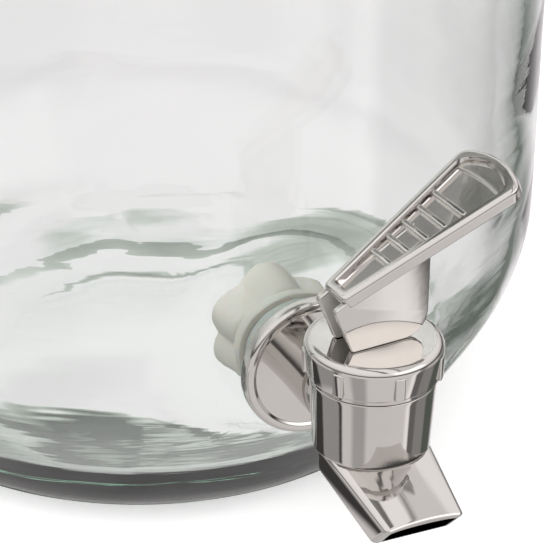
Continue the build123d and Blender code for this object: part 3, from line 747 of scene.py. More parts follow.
class GlassWall:
    """One skin of the jar's wall as rows of points round the axis, with a round window for the tap."""

    COLUMNS = 192
    WINDOW_COLUMNS = 26
    WINDOW_ROWS = 32
    WINDOW_RINGS = 16
    WINDOW_HALF = 0.04
    ROW_STEP = 0.0025
    CLEAR_OF_FOOT = 0.01
    BLEND_BELOW = 0.022
    BLEND_ABOVE = 0.037
    TAP_TURN = 0.75
    BELOW_TAP = (-0.9, -0.2)
    FOOT_FADE = (0.012, 0.032)
    SIDE_FADE = (0.13, 0.07)
    SIDE_RIPPLE = 0.2
    NECK_FADE = (0.25, 0.2)
    TAP_FADE = (0.04, 0.06)
    # Each wave's strength, count round the jar, radians per metre of height, share of the skin's phase and shift.
    WAVES = ((1.0, 3, 41, 1, 0.0), (0.7, 7, -63, 0, 2.1), (0.6, 11, 150, 1, 0.0), (0.5, 2, 130, 0, 0.0))

    def __init__(self, outline, plane, pad, hole, ripple, phase):
        self.outline = outline
        self.plane = plane
        self.pad = pad
        self.hole = hole
        self.ripple = ripple
        self.phase = phase
        self.rows = self.row_places()
        self.first_row = int(np.argmin(np.abs(self.rows[:, 1] - (SHANK_Z - self.WINDOW_HALF))))
        self.first_column = int(self.TAP_TURN * self.COLUMNS) - self.WINDOW_COLUMNS // 2

    def row_places(self):
        """Rows along the outline, with even rows across the window."""
        _, along = sampled(self.outline, [0.0])
        line = np.array(self.outline)
        rise = line[:, 1]
        climb = int(np.argmax(rise > rise[0] + self.CLEAR_OF_FOOT))
        window = np.interp(
            np.linspace(SHANK_Z - self.WINDOW_HALF, SHANK_Z + self.WINDOW_HALF, self.WINDOW_ROWS + 1),
            rise[climb:], along[climb:],
        )
        below = np.linspace(0, window[0], max(int(window[0] / self.ROW_STEP), 2), endpoint=False)
        rest = along[-1] - window[-1]
        above = np.linspace(window[-1], along[-1], int(rest / self.ROW_STEP) + 1)[1:]
        return sampled(self.outline, np.concatenate([below, window, above]))[0]

    def radius_at(self, height):
        """Radius of the wall at a height beside the tap."""
        climb = self.rows[self.first_row:self.first_row + self.WINDOW_ROWS + 1]
        return float(np.interp(height, climb[:, 1], climb[:, 0]))

    def uneven(self, turn, height):
        """Radial unevenness of blown glass, fading out at the foot, up the side, at the neck and round the tap."""
        wave = 0.0
        for strength, count, climb, own, shift in self.WAVES:
            wave += strength * math.sin(count * turn + climb * height + own * self.phase + shift)
        fade = max(eased(height, *self.SIDE_FADE), self.SIDE_RIPPLE) * eased(height, *self.FOOT_FADE)
        fade *= eased(height, *self.NECK_FADE)
        apart = math.hypot(JAR_RADIUS * math.remainder(turn + QUARTER, 2 * math.pi), height - SHANK_Z)
        return self.ripple * wave * fade * eased(apart, *self.TAP_FADE) / 2

    def point(self, row, column):
        """Point of the wall at a row and column."""
        radius, height = self.rows[row]
        turn = 2 * math.pi * column / self.COLUMNS
        radius += self.uneven(turn, height)
        return (radius * math.cos(turn), radius * math.sin(turn), height)

    def window_point(self, edge, reach):
        """Point of the window towards an edge point, at a share of the way from the hole's rim."""
        away = Vector((edge[0], edge[2] - SHANK_Z))
        radius = self.hole + (away.length - self.hole) * reach
        spot = away.normalized() * radius
        x, z = spot.x, spot.y + SHANK_Z
        wall = math.sqrt(max(self.radius_at(z) ** 2 - x * x, 0.0))
        outer = between(self.BLEND_BELOW, self.BLEND_ABOVE, eased(spot.y / radius, *self.BELOW_TAP))
        blend = eased(radius, self.pad, outer)
        blend = blend * blend * (3 - 2 * blend)
        return (x, -between(self.plane, wall, blend), z)

    def build(self, vertices, faces):
        """Adds the wall to lists of vertices and faces; returns its first row, last row and hole rim."""
        grid = []
        for row in range(len(self.rows)):
            grid.append([len(vertices) + column for column in range(self.COLUMNS)])
            vertices += [self.point(row, column) for column in range(self.COLUMNS)]
        last_row = self.first_row + self.WINDOW_ROWS
        last_column = self.first_column + self.WINDOW_COLUMNS
        for row in range(len(grid) - 1):
            for column in range(self.COLUMNS):
                inside = self.first_row <= row < last_row and self.first_column <= column < last_column
                if not inside:
                    after = (column + 1) % self.COLUMNS
                    faces.append([grid[row][column], grid[row][after], grid[row + 1][after], grid[row + 1][column]])
        edge = [grid[self.first_row][column] for column in range(self.first_column, last_column)]
        edge += [grid[row][last_column] for row in range(self.first_row, last_row)]
        edge += [grid[last_row][column] for column in range(last_column, self.first_column, -1)]
        edge += [grid[row][self.first_column] for row in range(last_row, self.first_row, -1)]
        outer = edge
        for reach in np.linspace(1, 0, self.WINDOW_RINGS + 1)[1:]:
            inner = []
            for corner in edge:
                inner.append(len(vertices))
                vertices.append(self.window_point(vertices[corner], reach))
            bridge(faces, outer, inner)
            outer = inner
        return grid[0], grid[-1], outer


def neck_thread(settings, vertices, columns, rows):
    """Pushes a screw ridge with fading ends out of the neck's rows."""
    laps, fade, below_rim = 1.4, 0.08, 0.0045
    half_foot, half_crest = 0.0016, 0.0007
    low = JAR_TOP - below_rim - laps * settings.pitch
    for row in rows:
        for column, corner in enumerate(row):
            x, y, z = vertices[corner]
            height = 0.0
            for lap in (column / columns, 1 + column / columns):
                if lap <= laps:
                    ends = min(1.0, lap / fade, (laps - lap) / fade)
                    apart = abs(z - low - lap * settings.pitch)
                    height = max(height, ends * eased(apart, half_foot, half_crest))
            grow = 1 + settings.thread * height / settings.neck
            vertices[corner] = (x * grow, y * grow, z)


def dome_rows(vertices, columns, radius, base, rise, steps):
    """Adds rings of a shallow dome from its edge towards its crown."""
    sphere = (radius * radius + rise * rise) / (2 * rise)
    rows = []
    for step in range(steps):
        reach = radius * (1 - step / steps)
        rows.append(ring_row(vertices, columns, reach, base + rise - sphere + math.sqrt(sphere ** 2 - reach ** 2)))
    return rows


class DISPENSER_OT_glass_jar(bpy.types.Operator):
    """Builds the jar: two uneven skins, foot, rim, neck thread and the pad round the tap hole"""

    bl_idname = "dispenser.glass_jar"
    bl_label = "Glass jar"

    CREASE = 50.0
    OUTER_RIPPLE = 0.25
    PHASES = (0.4, 1.9)
    NECK_ROWS = 44
    DOME_ROWS = 14

    def execute(self, context):
        settings = context.scene.dispenser_glass
        slope = settings.heel_slope
        reach, rise = heel_span(slope, settings.heel_upper, settings.heel_cone, settings.heel_lower)
        foot = JAR_RADIUS - reach
        upper = settings.heel_upper - settings.wall
        cone = (rise - settings.floor - heel_span(slope, upper, 0.0, settings.heel_inner)[1]) / math.cos(slope)
        inner_foot = JAR_RADIUS - settings.wall - heel_span(slope, upper, cone, settings.heel_inner)[0]
        outside = foot_and_side(settings, (foot, 0.0), settings.heel_lower, settings.heel_cone, 0.0)
        inside = foot_and_side(settings, (inner_foot, settings.floor), settings.heel_inner, cone, settings.wall)
        vertices, faces = [], []
        ripple = self.OUTER_RIPPLE * settings.ripple
        outer = GlassWall(outside, PAD_FACE, settings.pad, settings.hole, ripple, self.PHASES[0])
        inner = GlassWall(inside, PAD_BACK, settings.pad, settings.hole, settings.ripple, self.PHASES[1])
        outer_foot, outer_neck, outer_rim = outer.build(vertices, faces)
        inner_floor, inner_neck, inner_rim = inner.build(vertices, faces)
        bridge(faces, outer_rim, inner_rim)
        self.neck(settings, vertices, faces, outer_neck, inner_neck)
        for row, base in ((outer_foot, 0.0), (inner_floor, settings.floor)):
            self.foot(settings, vertices, faces, row, foot - settings.foot, base)
        jar = mesh_piece("glass_jar_skin", (vertices, faces), Matrix(), once(clear_glass), self.CREASE)
        settle(jar, "jar", "jar_glass", "glass_jar")
        return {"FINISHED"}

    def neck(self, settings, vertices, faces, outer_row, inner_row):
        """Neck, thread and rounded rim between the two skins."""
        columns = GlassWall.COLUMNS
        low = vertices[outer_row[0]][2]
        top = JAR_TOP - settings.rim
        rows = []
        for step in range(1, self.NECK_ROWS + 1):
            rows.append(ring_row(vertices, columns, settings.neck, low + (top - low) * step / self.NECK_ROWS))
        neck_thread(settings, vertices, columns, rows[:-2])
        bore = settings.neck - settings.wall
        for centre, start in ((settings.neck - settings.rim, 0), (bore + settings.rim, 1)):
            for step in range(1, ROUND_STEPS + 1):
                turn = QUARTER * (start + step / ROUND_STEPS)
                reach, rise = settings.rim * math.cos(turn), settings.rim * math.sin(turn)
                rows.append(ring_row(vertices, columns, centre + reach, top + rise))
        bridge(faces, outer_row, *rows, inner_row)

    def foot(self, settings, vertices, faces, edge_row, punt_radius, base):
        """Foot ring and shallow dome that close one skin at the axis."""
        columns = GlassWall.COLUMNS
        rows = dome_rows(vertices, columns, punt_radius, base, settings.punt, self.DOME_ROWS)
        crown = ring_row(vertices, 1, 0.0, base + settings.punt) * columns
        bridge(faces, edge_row, *rows, crown)


class DISPENSER_OT_tap_body(bpy.types.Operator):
    """Builds the tap's moulding: shank, neck, barrel, bowl and duck-bill spout"""

    bl_idname = "dispenser.tap_body"
    bl_label = "Tap body"

    CROWN_STEPS = 14
    BARREL_ROWS = 16
    NECK_ROWS = 12
    SEAT_DROP = 0.0002
    LIP_DROP = 0.0026
    BOWL_DROP = 0.0036
    BOWL_HEIGHT = 0.0036
    ROOT_INSET = 0.0005
    SEAT_HOLE = 0.004
    SEAT_DEPTH = 0.003
    DUCT_START, DUCT_PAST = 0.28, 0.2
    SOFT_EDGE = 0.0012
    LEAST_CROWN = 0.0003

    def execute(self, context):
        tap = context.scene.dispenser_tap
        chrome = once(mirror_chrome)
        barrel = self.barrel(tap, chrome)
        combine(barrel, [self.spout(tap, chrome), self.bowl(tap, chrome), self.neck(tap, chrome)], "UNION")
        combine(barrel, self.ways(tap, chrome), "DIFFERENCE")
        settle(barrel, "jar", "chrome", "tap_body")
        return {"FINISHED"}

    def seat(self, tap):
        """Height of the valve seat, just under the shank's bore."""
        return SHANK_Z - tap.bore - self.SEAT_DROP

    def barrel(self, tap, chrome):
        """Tapered barrel with the screwed top that the bonnet covers."""
        low = SHANK_Z - tap.barrel_drop
        shoulder, top = low + tap.barrel_height, BODY_HIGH.z
        corners = [(0, low, 0), (tap.barrel_low, low, 0.0004)]
        for row in range(1, self.BARREL_ROWS):
            part = row / self.BARREL_ROWS
            corners.append((between(tap.barrel_low, tap.barrel_top, part), between(low, shoulder, part), 0))
        corners += [(tap.barrel_top, shoulder, 0.0003), (tap.spigot, shoulder, 0)]
        corners += [(tap.spigot, top, 0.0003), (0, top, 0)]
        return turned("tap_body_plated", corners, TAP_AXIS, chrome)

    def bowl(self, tap, chrome):
        """Round bowl under the barrel."""
        tuck, overlap = 0.0002, 0.0006
        edge = self.seat(tap) - self.BOWL_DROP
        low = edge - self.BOWL_HEIGHT
        corners = [
            (0, low, 0), (tap.bowl, low, 0.0025), (tap.bowl, edge, 0.001),
            (tap.barrel_low - tuck, SHANK_Z - tap.barrel_drop + overlap, 0), (0, SHANK_Z, 0),
        ]
        return turned("bowl", corners, TAP_AXIS, chrome)

    def neck(self, tap, chrome):
        """Neck tube and shank on the shank's axis."""
        face, end, reach = -FLANGE_LOW.y - DISH, -BODY_HIGH.y, -TAP_Y
        corners = [(0, end, 0), (tap.shank, end, 0.0004), (tap.shank, face, 0)]
        for row in range(self.NECK_ROWS + 1):
            corners.append((tap.neck, face + (reach - face) * row / self.NECK_ROWS, 0))
        return turned("neck", corners + [(0, reach, 0)], SHANK_AXIS, chrome, segments=96)

    def bill(self, tap, inset, start, past):
        """Corner points of the spout or its duct: section loops from the barrel's axis to the mouth."""
        bowl_edge = self.seat(tap) - self.BOWL_DROP
        lip, lip_z = tap.barrel_low + tap.spout_length, self.seat(tap) - self.LIP_DROP
        root = tap.barrel_low - self.ROOT_INSET
        loops = []
        for part in (start, 1 + past):
            forward, low_forward = lip * part, (lip - tap.mouth_rake) * part
            top = lip_z + (lip - forward) * math.tan(tap.spout_slope) - inset
            low = between(bowl_edge, lip_z - tap.mouth_height, part) + inset
            width = between(root, tap.spout_width, part) - inset
            crown = max(between(tap.spout_crown, tap.spout_bevel, part) - inset / 2, self.LEAST_CROWN)
            loop = [(-width, -low_forward, low), (width, -low_forward, low)]
            for step in range(self.CROWN_STEPS + 1):
                across = 1 - 2 * step / self.CROWN_STEPS
                loop.append((width * across, -forward, top - crown * across * across))
            loops.append(loop)
        return loops

    def block(self, name, loops, soften, chrome):
        """Closed block between two section loops with softened edges."""
        work = bmesh.new()
        rings = [[work.verts.new(point) for point in loop] for loop in loops]
        count = len(rings[0])
        work.faces.new(rings[0])
        work.faces.new(rings[1][::-1])
        for index in range(count):
            after = (index + 1) % count
            work.faces.new([rings[0][index], rings[1][index], rings[1][after], rings[0][after]])
        bmesh.ops.recalc_face_normals(work, faces=work.faces)
        if soften:
            hidden = set(rings[0])
            sharp = [edge for edge in work.edges if edge.calc_face_angle(0.0) > math.radians(CREASE)]
            sharp = [edge for edge in sharp if not hidden.issuperset(edge.verts)]
            bmesh.ops.bevel(
                work, geom=sharp, offset=soften, segments=4, profile=0.5, affect="EDGES", clamp_overlap=True
            )
        mesh = bpy.data.meshes.new(name)
        work.to_mesh(mesh)
        work.free()
        mesh.transform(TAP_AXIS)
        return linked(name, mesh, chrome)

    def spout(self, tap, chrome):
        """Duck-bill spout."""
        return self.block("spout", self.bill(tap, 0.0, 0.0, 0.0), self.SOFT_EDGE, chrome)

    def ways(self, tap, chrome):
        """Hollows: mouth, valve chamber, seat hole and shank bore."""
        seat = self.seat(tap)
        chamber = ring_corners(0, tap.chamber, seat, BODY_HIGH.z + CUT_PAST)
        hole = ring_corners(0, self.SEAT_HOLE, seat - self.SEAT_DEPTH, seat + CUT_PAST)
        bore = ring_corners(0, tap.bore, -BODY_HIGH.y - CUT_PAST, -TAP_Y - CUT_PAST)
        return [
            self.block("duct", self.bill(tap, tap.spout_wall, self.DUCT_START, self.DUCT_PAST), 0.0, chrome),
            turned("chamber", chamber, TAP_AXIS, chrome),
            turned("seat_hole", hole, TAP_AXIS, chrome, segments=48),
            turned("shank_bore", bore, SHANK_AXIS, chrome, segments=64),
        ]


class DISPENSER_OT_wall_pieces(bpy.types.Operator):
    """Builds what clamps the tap to the glass: flange, washers and lobed nut"""

    bl_idname = "dispenser.wall_pieces"
    bl_label = "Flange, washers and nut"

    LOBE_STEPS = 32
    LOBE_DEPTH = 0.0026
    LOBE_FULLNESS = 0.7

    def execute(self, context):
        tap = context.scene.dispenser_tap
        bore = tap.shank + FIT
        self.flange(bore)
        for name, node in (("inner_washer", "inner_seal"), ("outer_washer", "outer_seal")):
            self.washer(name, node, bore)
        self.nut(tap, bore)
        return {"FINISHED"}

    def flange(self, bore):
        """Chromed disc with a round bright rim, a slightly dished mirror face and a recess for its washer."""
        back, rim_face, radius = -FLANGE_HIGH.y, -FLANGE_LOW.y, FLANGE_HIGH.x
        face = rim_face - DISH
        recess, deep, rim_width, face_inset = 0.0131, PAD_FACE + 0.002, 0.0019, 0.0026
        corners = [
            (bore, deep, 0), (recess, deep, 0), (recess, back, 0.0002), (radius, back, 0.0006),
            (radius, rim_face, 0.0011), (radius - rim_width, rim_face, 0.0006), (radius - face_inset, face, 0.0005),
            (bore, face, 0),
        ]
        flange = turned("wall_flange_plated", corners, SHANK_AXIS, once(mirror_chrome), segments=160)
        settle(flange, "jar", "chrome", "wall_flange")

    def washer(self, name, node, bore):
        """Flat washer with rounded edges."""
        low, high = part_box(node)
        corners = ring_corners(bore, high.x, -high.y, -low.y, 0.0002, 0.0006)
        settle(turned(name, corners, SHANK_AXIS, once(pale_silicone), segments=96), "jar", "silicone", node)

    def nut(self, tap, bore):
        """Nut with soft round lobes over a collar."""
        plastic = once(moulded_plastic)
        end, face = -NUT_HIGH.y, -NUT_LOW.y
        radius = (NUT_HIGH.z - NUT_LOW.z) / 2
        collar_height, collar_radius, overlap = 0.0022, 0.0134, 0.0004
        collar = face - collar_height
        outline = []
        steps = self.LOBE_STEPS * tap.lobes
        for step in range(steps):
            turn = 2 * math.pi * step / steps
            swell = (0.5 + 0.5 * math.cos(tap.lobes * (turn - tap.lobe_turn))) ** self.LOBE_FULLNESS
            reach = radius - self.LOBE_DEPTH * (1 - swell)
            outline.append((reach * math.cos(turn), reach * math.sin(turn)))
        shape = stack(outline, slab_layers(end, collar + overlap, 0.0012))
        nut = mesh_piece("lobed_nut_moulded", shape, SHANK_AXIS, plastic)
        edge = [(0, collar, 0), (collar_radius, collar, 0.0005), (collar_radius, face, 0.0003), (0, face, 0)]
        combine(nut, [turned("collar", edge, SHANK_AXIS, plastic)], "UNION")
        hole = ring_corners(0, bore, end - CUT_PAST, face + CUT_PAST)
        combine(nut, [turned("hole", hole, SHANK_AXIS, plastic, segments=96)], "DIFFERENCE")
        settle(nut, "jar", "nut_plastic", "lobed_nut")


class DISPENSER_OT_bonnet(bpy.types.Operator):
    """Builds the tap's screw cap: rounded rim band, stepped foot, flat top and grip ribs"""

    bl_idname = "dispenser.bonnet"
    bl_label = "Bonnet"

    def execute(self, context):
        tap = context.scene.dispenser_tap
        chrome = once(mirror_chrome)
        low, top = BONNET_LOW.z, BONNET_HIGH.z
        foot, rim, hub, stem, inset = 0.0145, 0.0152, 0.0054, 0.00238, 0.0005
        step_height, sheet, hub_depth, play = 0.0009, 0.003, 0.0027, 0.00025
        step, under, bore = low + step_height, top - sheet, tap.spigot + play
        hub_low = under - hub_depth
        corners = [
            (bore, low, 0.0002), (foot - inset, low, 0.0003), (foot - inset, step, 0.0001), (foot, step, 0.0006),
            (rim, top, 0.0019), (stem, top, 0.0002), (stem, hub_low, 0), (hub, hub_low, 0.0003), (hub, under, 0.0002),
            (bore, under, 0.0002),
        ]
        settle(turned("bonnet_plated", corners, TAP_AXIS, chrome, segments=160), "jar", "chrome", "bonnet")
        self.ribs(tap, chrome, step + inset, foot)
        return {"FINISHED"}

    def ribs(self, tap, chrome, low, radius):
        """Short round ribs on the bonnet's skirt."""
        proud, half, height, soft = 0.0008, 0.0012, 0.0054, 0.0004
        outline = rounded([(-proud, -half, 0), (proud, -half, soft), (proud, half, soft), (-proud, half, 0)])
        shape = stack(outline, slab_layers(low, low + height, soft))
        rib = mesh_piece("rib", shape, Matrix.Translation((radius, 0, 0)), chrome)
        ribs = repeated(
            "bonnet_ribs", rib, True, TAP_AXIS, chrome,
            Count=tap.ribs, Spacing=2 * math.pi / tap.ribs, Start=tap.rib_turn, Growth=0.0,
        )
        settle(ribs, "jar", "chrome")


class DISPENSER_OT_lever(bpy.types.Operator):
    """Builds the lever: two cheeks with a cam foot under a tapered handle with a recessed grip panel"""

    bl_idname = "dispenser.lever"
    bl_label = "Lever"

    NOSE_X, NOSE_Z = -0.0109, 0.0134
    BOW = 0.003
    BOW_PARTS = (-0.66, -0.33, 0.0, 0.33, 0.66)
    CHEEK_SHEET = 0.0016
    PANEL_WALL = ((0.0008, -0.0018), (0.0006, -0.0016), (0.0002, -0.0004), (0.0, 0.0), (-0.0003, 0.0004))
    PANEL_FLOOR = -0.0021
    HANDLE_UNDER = -0.0023
    INSIDE_SLACK = 0.00005
    SUNK = 0.0016
    SOCKET = 0.00115

    def execute(self, context):
        tap = context.scene.dispenser_tap
        chrome = once(mirror_chrome)
        base = Matrix.Translation((0, TAP_Y, BONNET_HIGH.z)) @ Matrix.Rotation(tap.lever_turn, 4, "Z")
        nose = Matrix.Translation((self.NOSE_X, 0, self.NOSE_Z))
        plane = base @ nose @ Matrix.Rotation(-tap.lever_incline, 4, "Y")
        handle = self.handle(tap, plane, chrome)
        combine(handle, [self.panel(tap, plane, chrome)], "DIFFERENCE")
        combine(handle, [*self.cheeks(tap, base, chrome), self.scoop(tap, plane, chrome)], "UNION")
        combine(handle, [self.pin_sockets(tap, chrome)], "DIFFERENCE")
        self.dull_inside(tap, base, plane, handle.data)
        settle(handle, "lever", "chrome", "lever")
        self.grip_bars(tap, plane, chrome)
        return {"FINISHED"}

    def outline(self, tap, inset, start, end, soft):
        """Tapered outline of the handle with a bowed wide end."""
        flare = (tap.handle_end - tap.cheek) / (tap.handle_length - self.BOW)
        narrow = tap.cheek + flare * start - inset
        shoulder = end - self.BOW
        wide = tap.cheek + flare * shoulder - inset
        corners = [(start, narrow, soft), (start, -narrow, soft), (shoulder, -wide, 2 * soft)]
        corners += [(shoulder + self.BOW * (1 - part * part), wide * part, 0) for part in self.BOW_PARTS]
        return rounded(corners + [(shoulder, wide, 2 * soft)])

    def handle(self, tap, plane, chrome):
        """Handle plate with a wide bevelled rim."""
        depth, soft, bevel, fall = 0.0032, 0.0004, 0.0013, 0.001
        layers = slab_layers(-depth, -fall, soft)[:ROUND_STEPS + 2]
        for step in range(1, ROUND_STEPS + 1):
            turn = QUARTER * step / ROUND_STEPS
            layers.append((bevel * (1 - math.cos(turn)), fall * (math.sin(turn) - 1)))
        shape = stack(self.outline(tap, 0, 0, tap.handle_length, 0.0016), layers)
        return mesh_piece("lever_plated", shape, plane, chrome)

    def panel(self, tap, plane, chrome):
        """Hollow of the sunk grip panel with sloping walls."""
        rim = tap.handle_rim
        outline = self.outline(tap, rim, rim, tap.handle_length - rim, 0.0012)
        return mesh_piece("panel", stack(outline, self.PANEL_WALL), plane, chrome)

    def scoop(self, tap, plane, chrome):
        """Crescent step at the wide end of the panel."""
        end_inset, side_inset, top, soft, steps = 0.0006, 0.0012, -0.0012, 0.0002, 6
        end, width = tap.handle_length - end_inset, tap.handle_end - side_inset
        hollow = -0.0062
        parts = [-1 + step / steps for step in range(2 * steps + 1)]
        outline = [(end - self.BOW * part * part, width * part) for part in parts]
        for part in reversed(parts):
            outline.append((hollow + math.sqrt(tap.handle_length ** 2 - (width * part) ** 2), width * part))
        shape = stack(outline, slab_layers(self.PANEL_FLOOR, top, soft))
        return mesh_piece("scoop", shape, plane, chrome)

    def cheeks(self, tap, base, chrome):
        """Two flat cheeks: nose, foot on the bonnet and the cam at the rear."""
        cam, offset, foot, toe, soft = 0.0056, 0.005, 0.00005, -0.0079, 0.0009
        brow, brow_height, edge = -0.0124, 0.0108, 0.00035
        sunk = self.SUNK / math.cos(tap.lever_incline)
        rear = offset + cam
        rear_top = self.NOSE_Z + (rear - self.NOSE_X) * math.tan(tap.lever_incline) - sunk
        outline = rounded([
            (toe, foot, soft), (rear, foot, cam - FIT), (rear, rear_top, 0),
            (self.NOSE_X, self.NOSE_Z - sunk, 0), (brow, brow_height, soft),
        ])
        cheeks = []
        for low in (-tap.cheek, tap.cheek - self.CHEEK_SHEET):
            shape = stack(outline, slab_layers(low, low + self.CHEEK_SHEET, edge))
            cheeks.append(mesh_piece("cheek", shape, base @ UPRIGHT, chrome))
        return cheeks

    def dull_inside(self, tap, base, plane, mesh):
        """Gives the faces between the cheeks, under the handle, the duller and darker plating."""
        mesh.materials.append(once(thin_plating))
        inner = tap.cheek - self.CHEEK_SHEET + self.INSIDE_SLACK
        into_base, into_plane = base.inverted(), plane.inverted()
        for face in mesh.polygons:
            if abs((into_base @ face.center).y) < inner and (into_plane @ face.center).z < self.HANDLE_UNDER:
                face.material_index = 1

    def pin_sockets(self, tap, chrome):
        """Blind sockets for the pin in the cheeks' inner faces."""
        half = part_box("pivot_pin")[1].y - PIN.y + FIT
        axis = Matrix.Translation(PIN) @ Matrix.Rotation(tap.lever_turn, 4, "Z") @ UPRIGHT
        return turned("socket", ring_corners(0, self.SOCKET, -half, half), axis, chrome, segments=40)

    def grip_bars(self, tap, plane, chrome):
        """Low rounded bars across the grip panel, each wider than the last."""
        half, width, soft, top = 0.00065, 0.0037, 0.0006, -0.0006
        start, spacing, growth = 0.013, 0.0046, 0.17
        outline = rounded([(-half, -width, soft), (half, -width, soft), (half, width, soft), (-half, width, soft)])
        bar = mesh_piece("bar", stack(outline, slab_layers(self.PANEL_FLOOR, top, soft / 2)), Matrix(), chrome)
        bars = repeated(
            "lever_grip_bars", bar, False, plane, chrome, Count=tap.bars, Spacing=spacing, Start=start, Growth=growth
        )
        settle(bars, "lever", "chrome")


class DISPENSER_OT_lid(bpy.types.Operator):
    """Builds the screw lid: rolled band, pressed disc and gasket"""

    bl_idname = "dispenser.lid"
    bl_label = "Screw lid"

    BEND = 0.0008
    PLATE = 0.001
    GASKET_REACH = 0.001

    def execute(self, context):
        lid, glass = context.scene.dispenser_lid, context.scene.dispenser_glass
        bore = BAND_HIGH.x - lid.bead - lid.sheet
        window = bore - lid.lip
        self.band(lid, bore, window)
        self.disc(lid, window)
        inner = glass.neck - glass.wall - self.GASKET_REACH
        corners = ring_corners(inner, GASKET_HIGH.x, GASKET_LOW.z, GASKET_HIGH.z, 0.0004, 0.0004)
        gasket = turned("lid_gasket_ring", corners, Matrix(), once(pale_silicone), segments=160)
        settle(gasket, "lid_seal", "silicone", "lid_gasket")
        return {"FINISHED"}

    def band(self, lid, bore, window):
        """Screw band with a rolled lower edge and an inward lip."""
        outer, low, top = bore + lid.sheet, BAND_LOW.z, BAND_HIGH.z
        under, bead_top = top - lid.sheet, low + 2 * lid.bead
        corners = [
            (bore, low, 0.0004), (outer + lid.bead, low, 0.0012), (outer + lid.bead, bead_top, 0.0012),
            (outer, bead_top + 0.0004, 0.0006), (outer, top, 0.0016), (window, top, 0.0005),
            (window, under, 0.0004), (bore, under, self.BEND),
        ]
        band = turned("lid_band_pressed", corners, Matrix(), once(satin_lid), segments=192)
        settle(band, "lid_band", "lid_metal", "lid_band")

    def disc(self, lid, window):
        """Pressed disc with a raised ring."""
        low, top, crown, edge = DISC_LOW.z, DISC_LOW.z + self.PLATE, DISC_HIGH.z, DISC_HIGH.x
        ring, half = window - lid.ring_inset, lid.ring_width / 2
        corners = [(0, low, 0), (edge, low, 0.0003), (edge, top, 0.0003)]
        for away, height in ((lid.ring_width, top), (half, crown), (-half, crown), (-lid.ring_width, top)):
            corners.append((ring + away, height, self.BEND))
        disc = turned("lid_disc_pressed", corners + [(0, top, 0)], Matrix(), once(satin_lid), segments=192)
        settle(disc, "lid_seal", "lid_metal", "lid_disc")


class DISPENSER_OT_inner_pieces(bpy.types.Operator):
    """Gives the valve's inner pieces their steel and silicone finishes and winds its spring"""

    bl_idname = "dispenser.inner_pieces"
    bl_label = "Inner pieces"

    FINISHES = {
        drawn_steel: ("valve_stem", "pivot_pin"),
        pale_silicone: ("seat_plug", "bonnet_seal", "stem_seal"),
    }

    def execute(self, context):
        for maker, nodes in self.FINISHES.items():
            for node in nodes:
                paint(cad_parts[node].data, once(maker))
        self.spring(context.scene.dispenser_tap)
        return {"FINISHED"}

    def spring(self, tap):
        """Coil of the return spring, wound to fill its box at rest; the real spring shortens towards the bonnet as
        the valve lifts.
        """
        low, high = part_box("return_spring")
        wire = tap.spring_wire
        values = {
            "Turns": tap.spring_turns, "Radius": (high.x - low.x) / 2 - wire, "Height": high.z - low.z - 2 * wire,
            "Wire": wire,
        }
        place = Matrix.Translation((0, TAP_Y, low.z + wire))
        coil = grown("return_spring_coil", coil_tree("coil"), values, once(drawn_steel), place)
        settle(coil, "jar", "steel", "return_spring")
        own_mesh(coil)


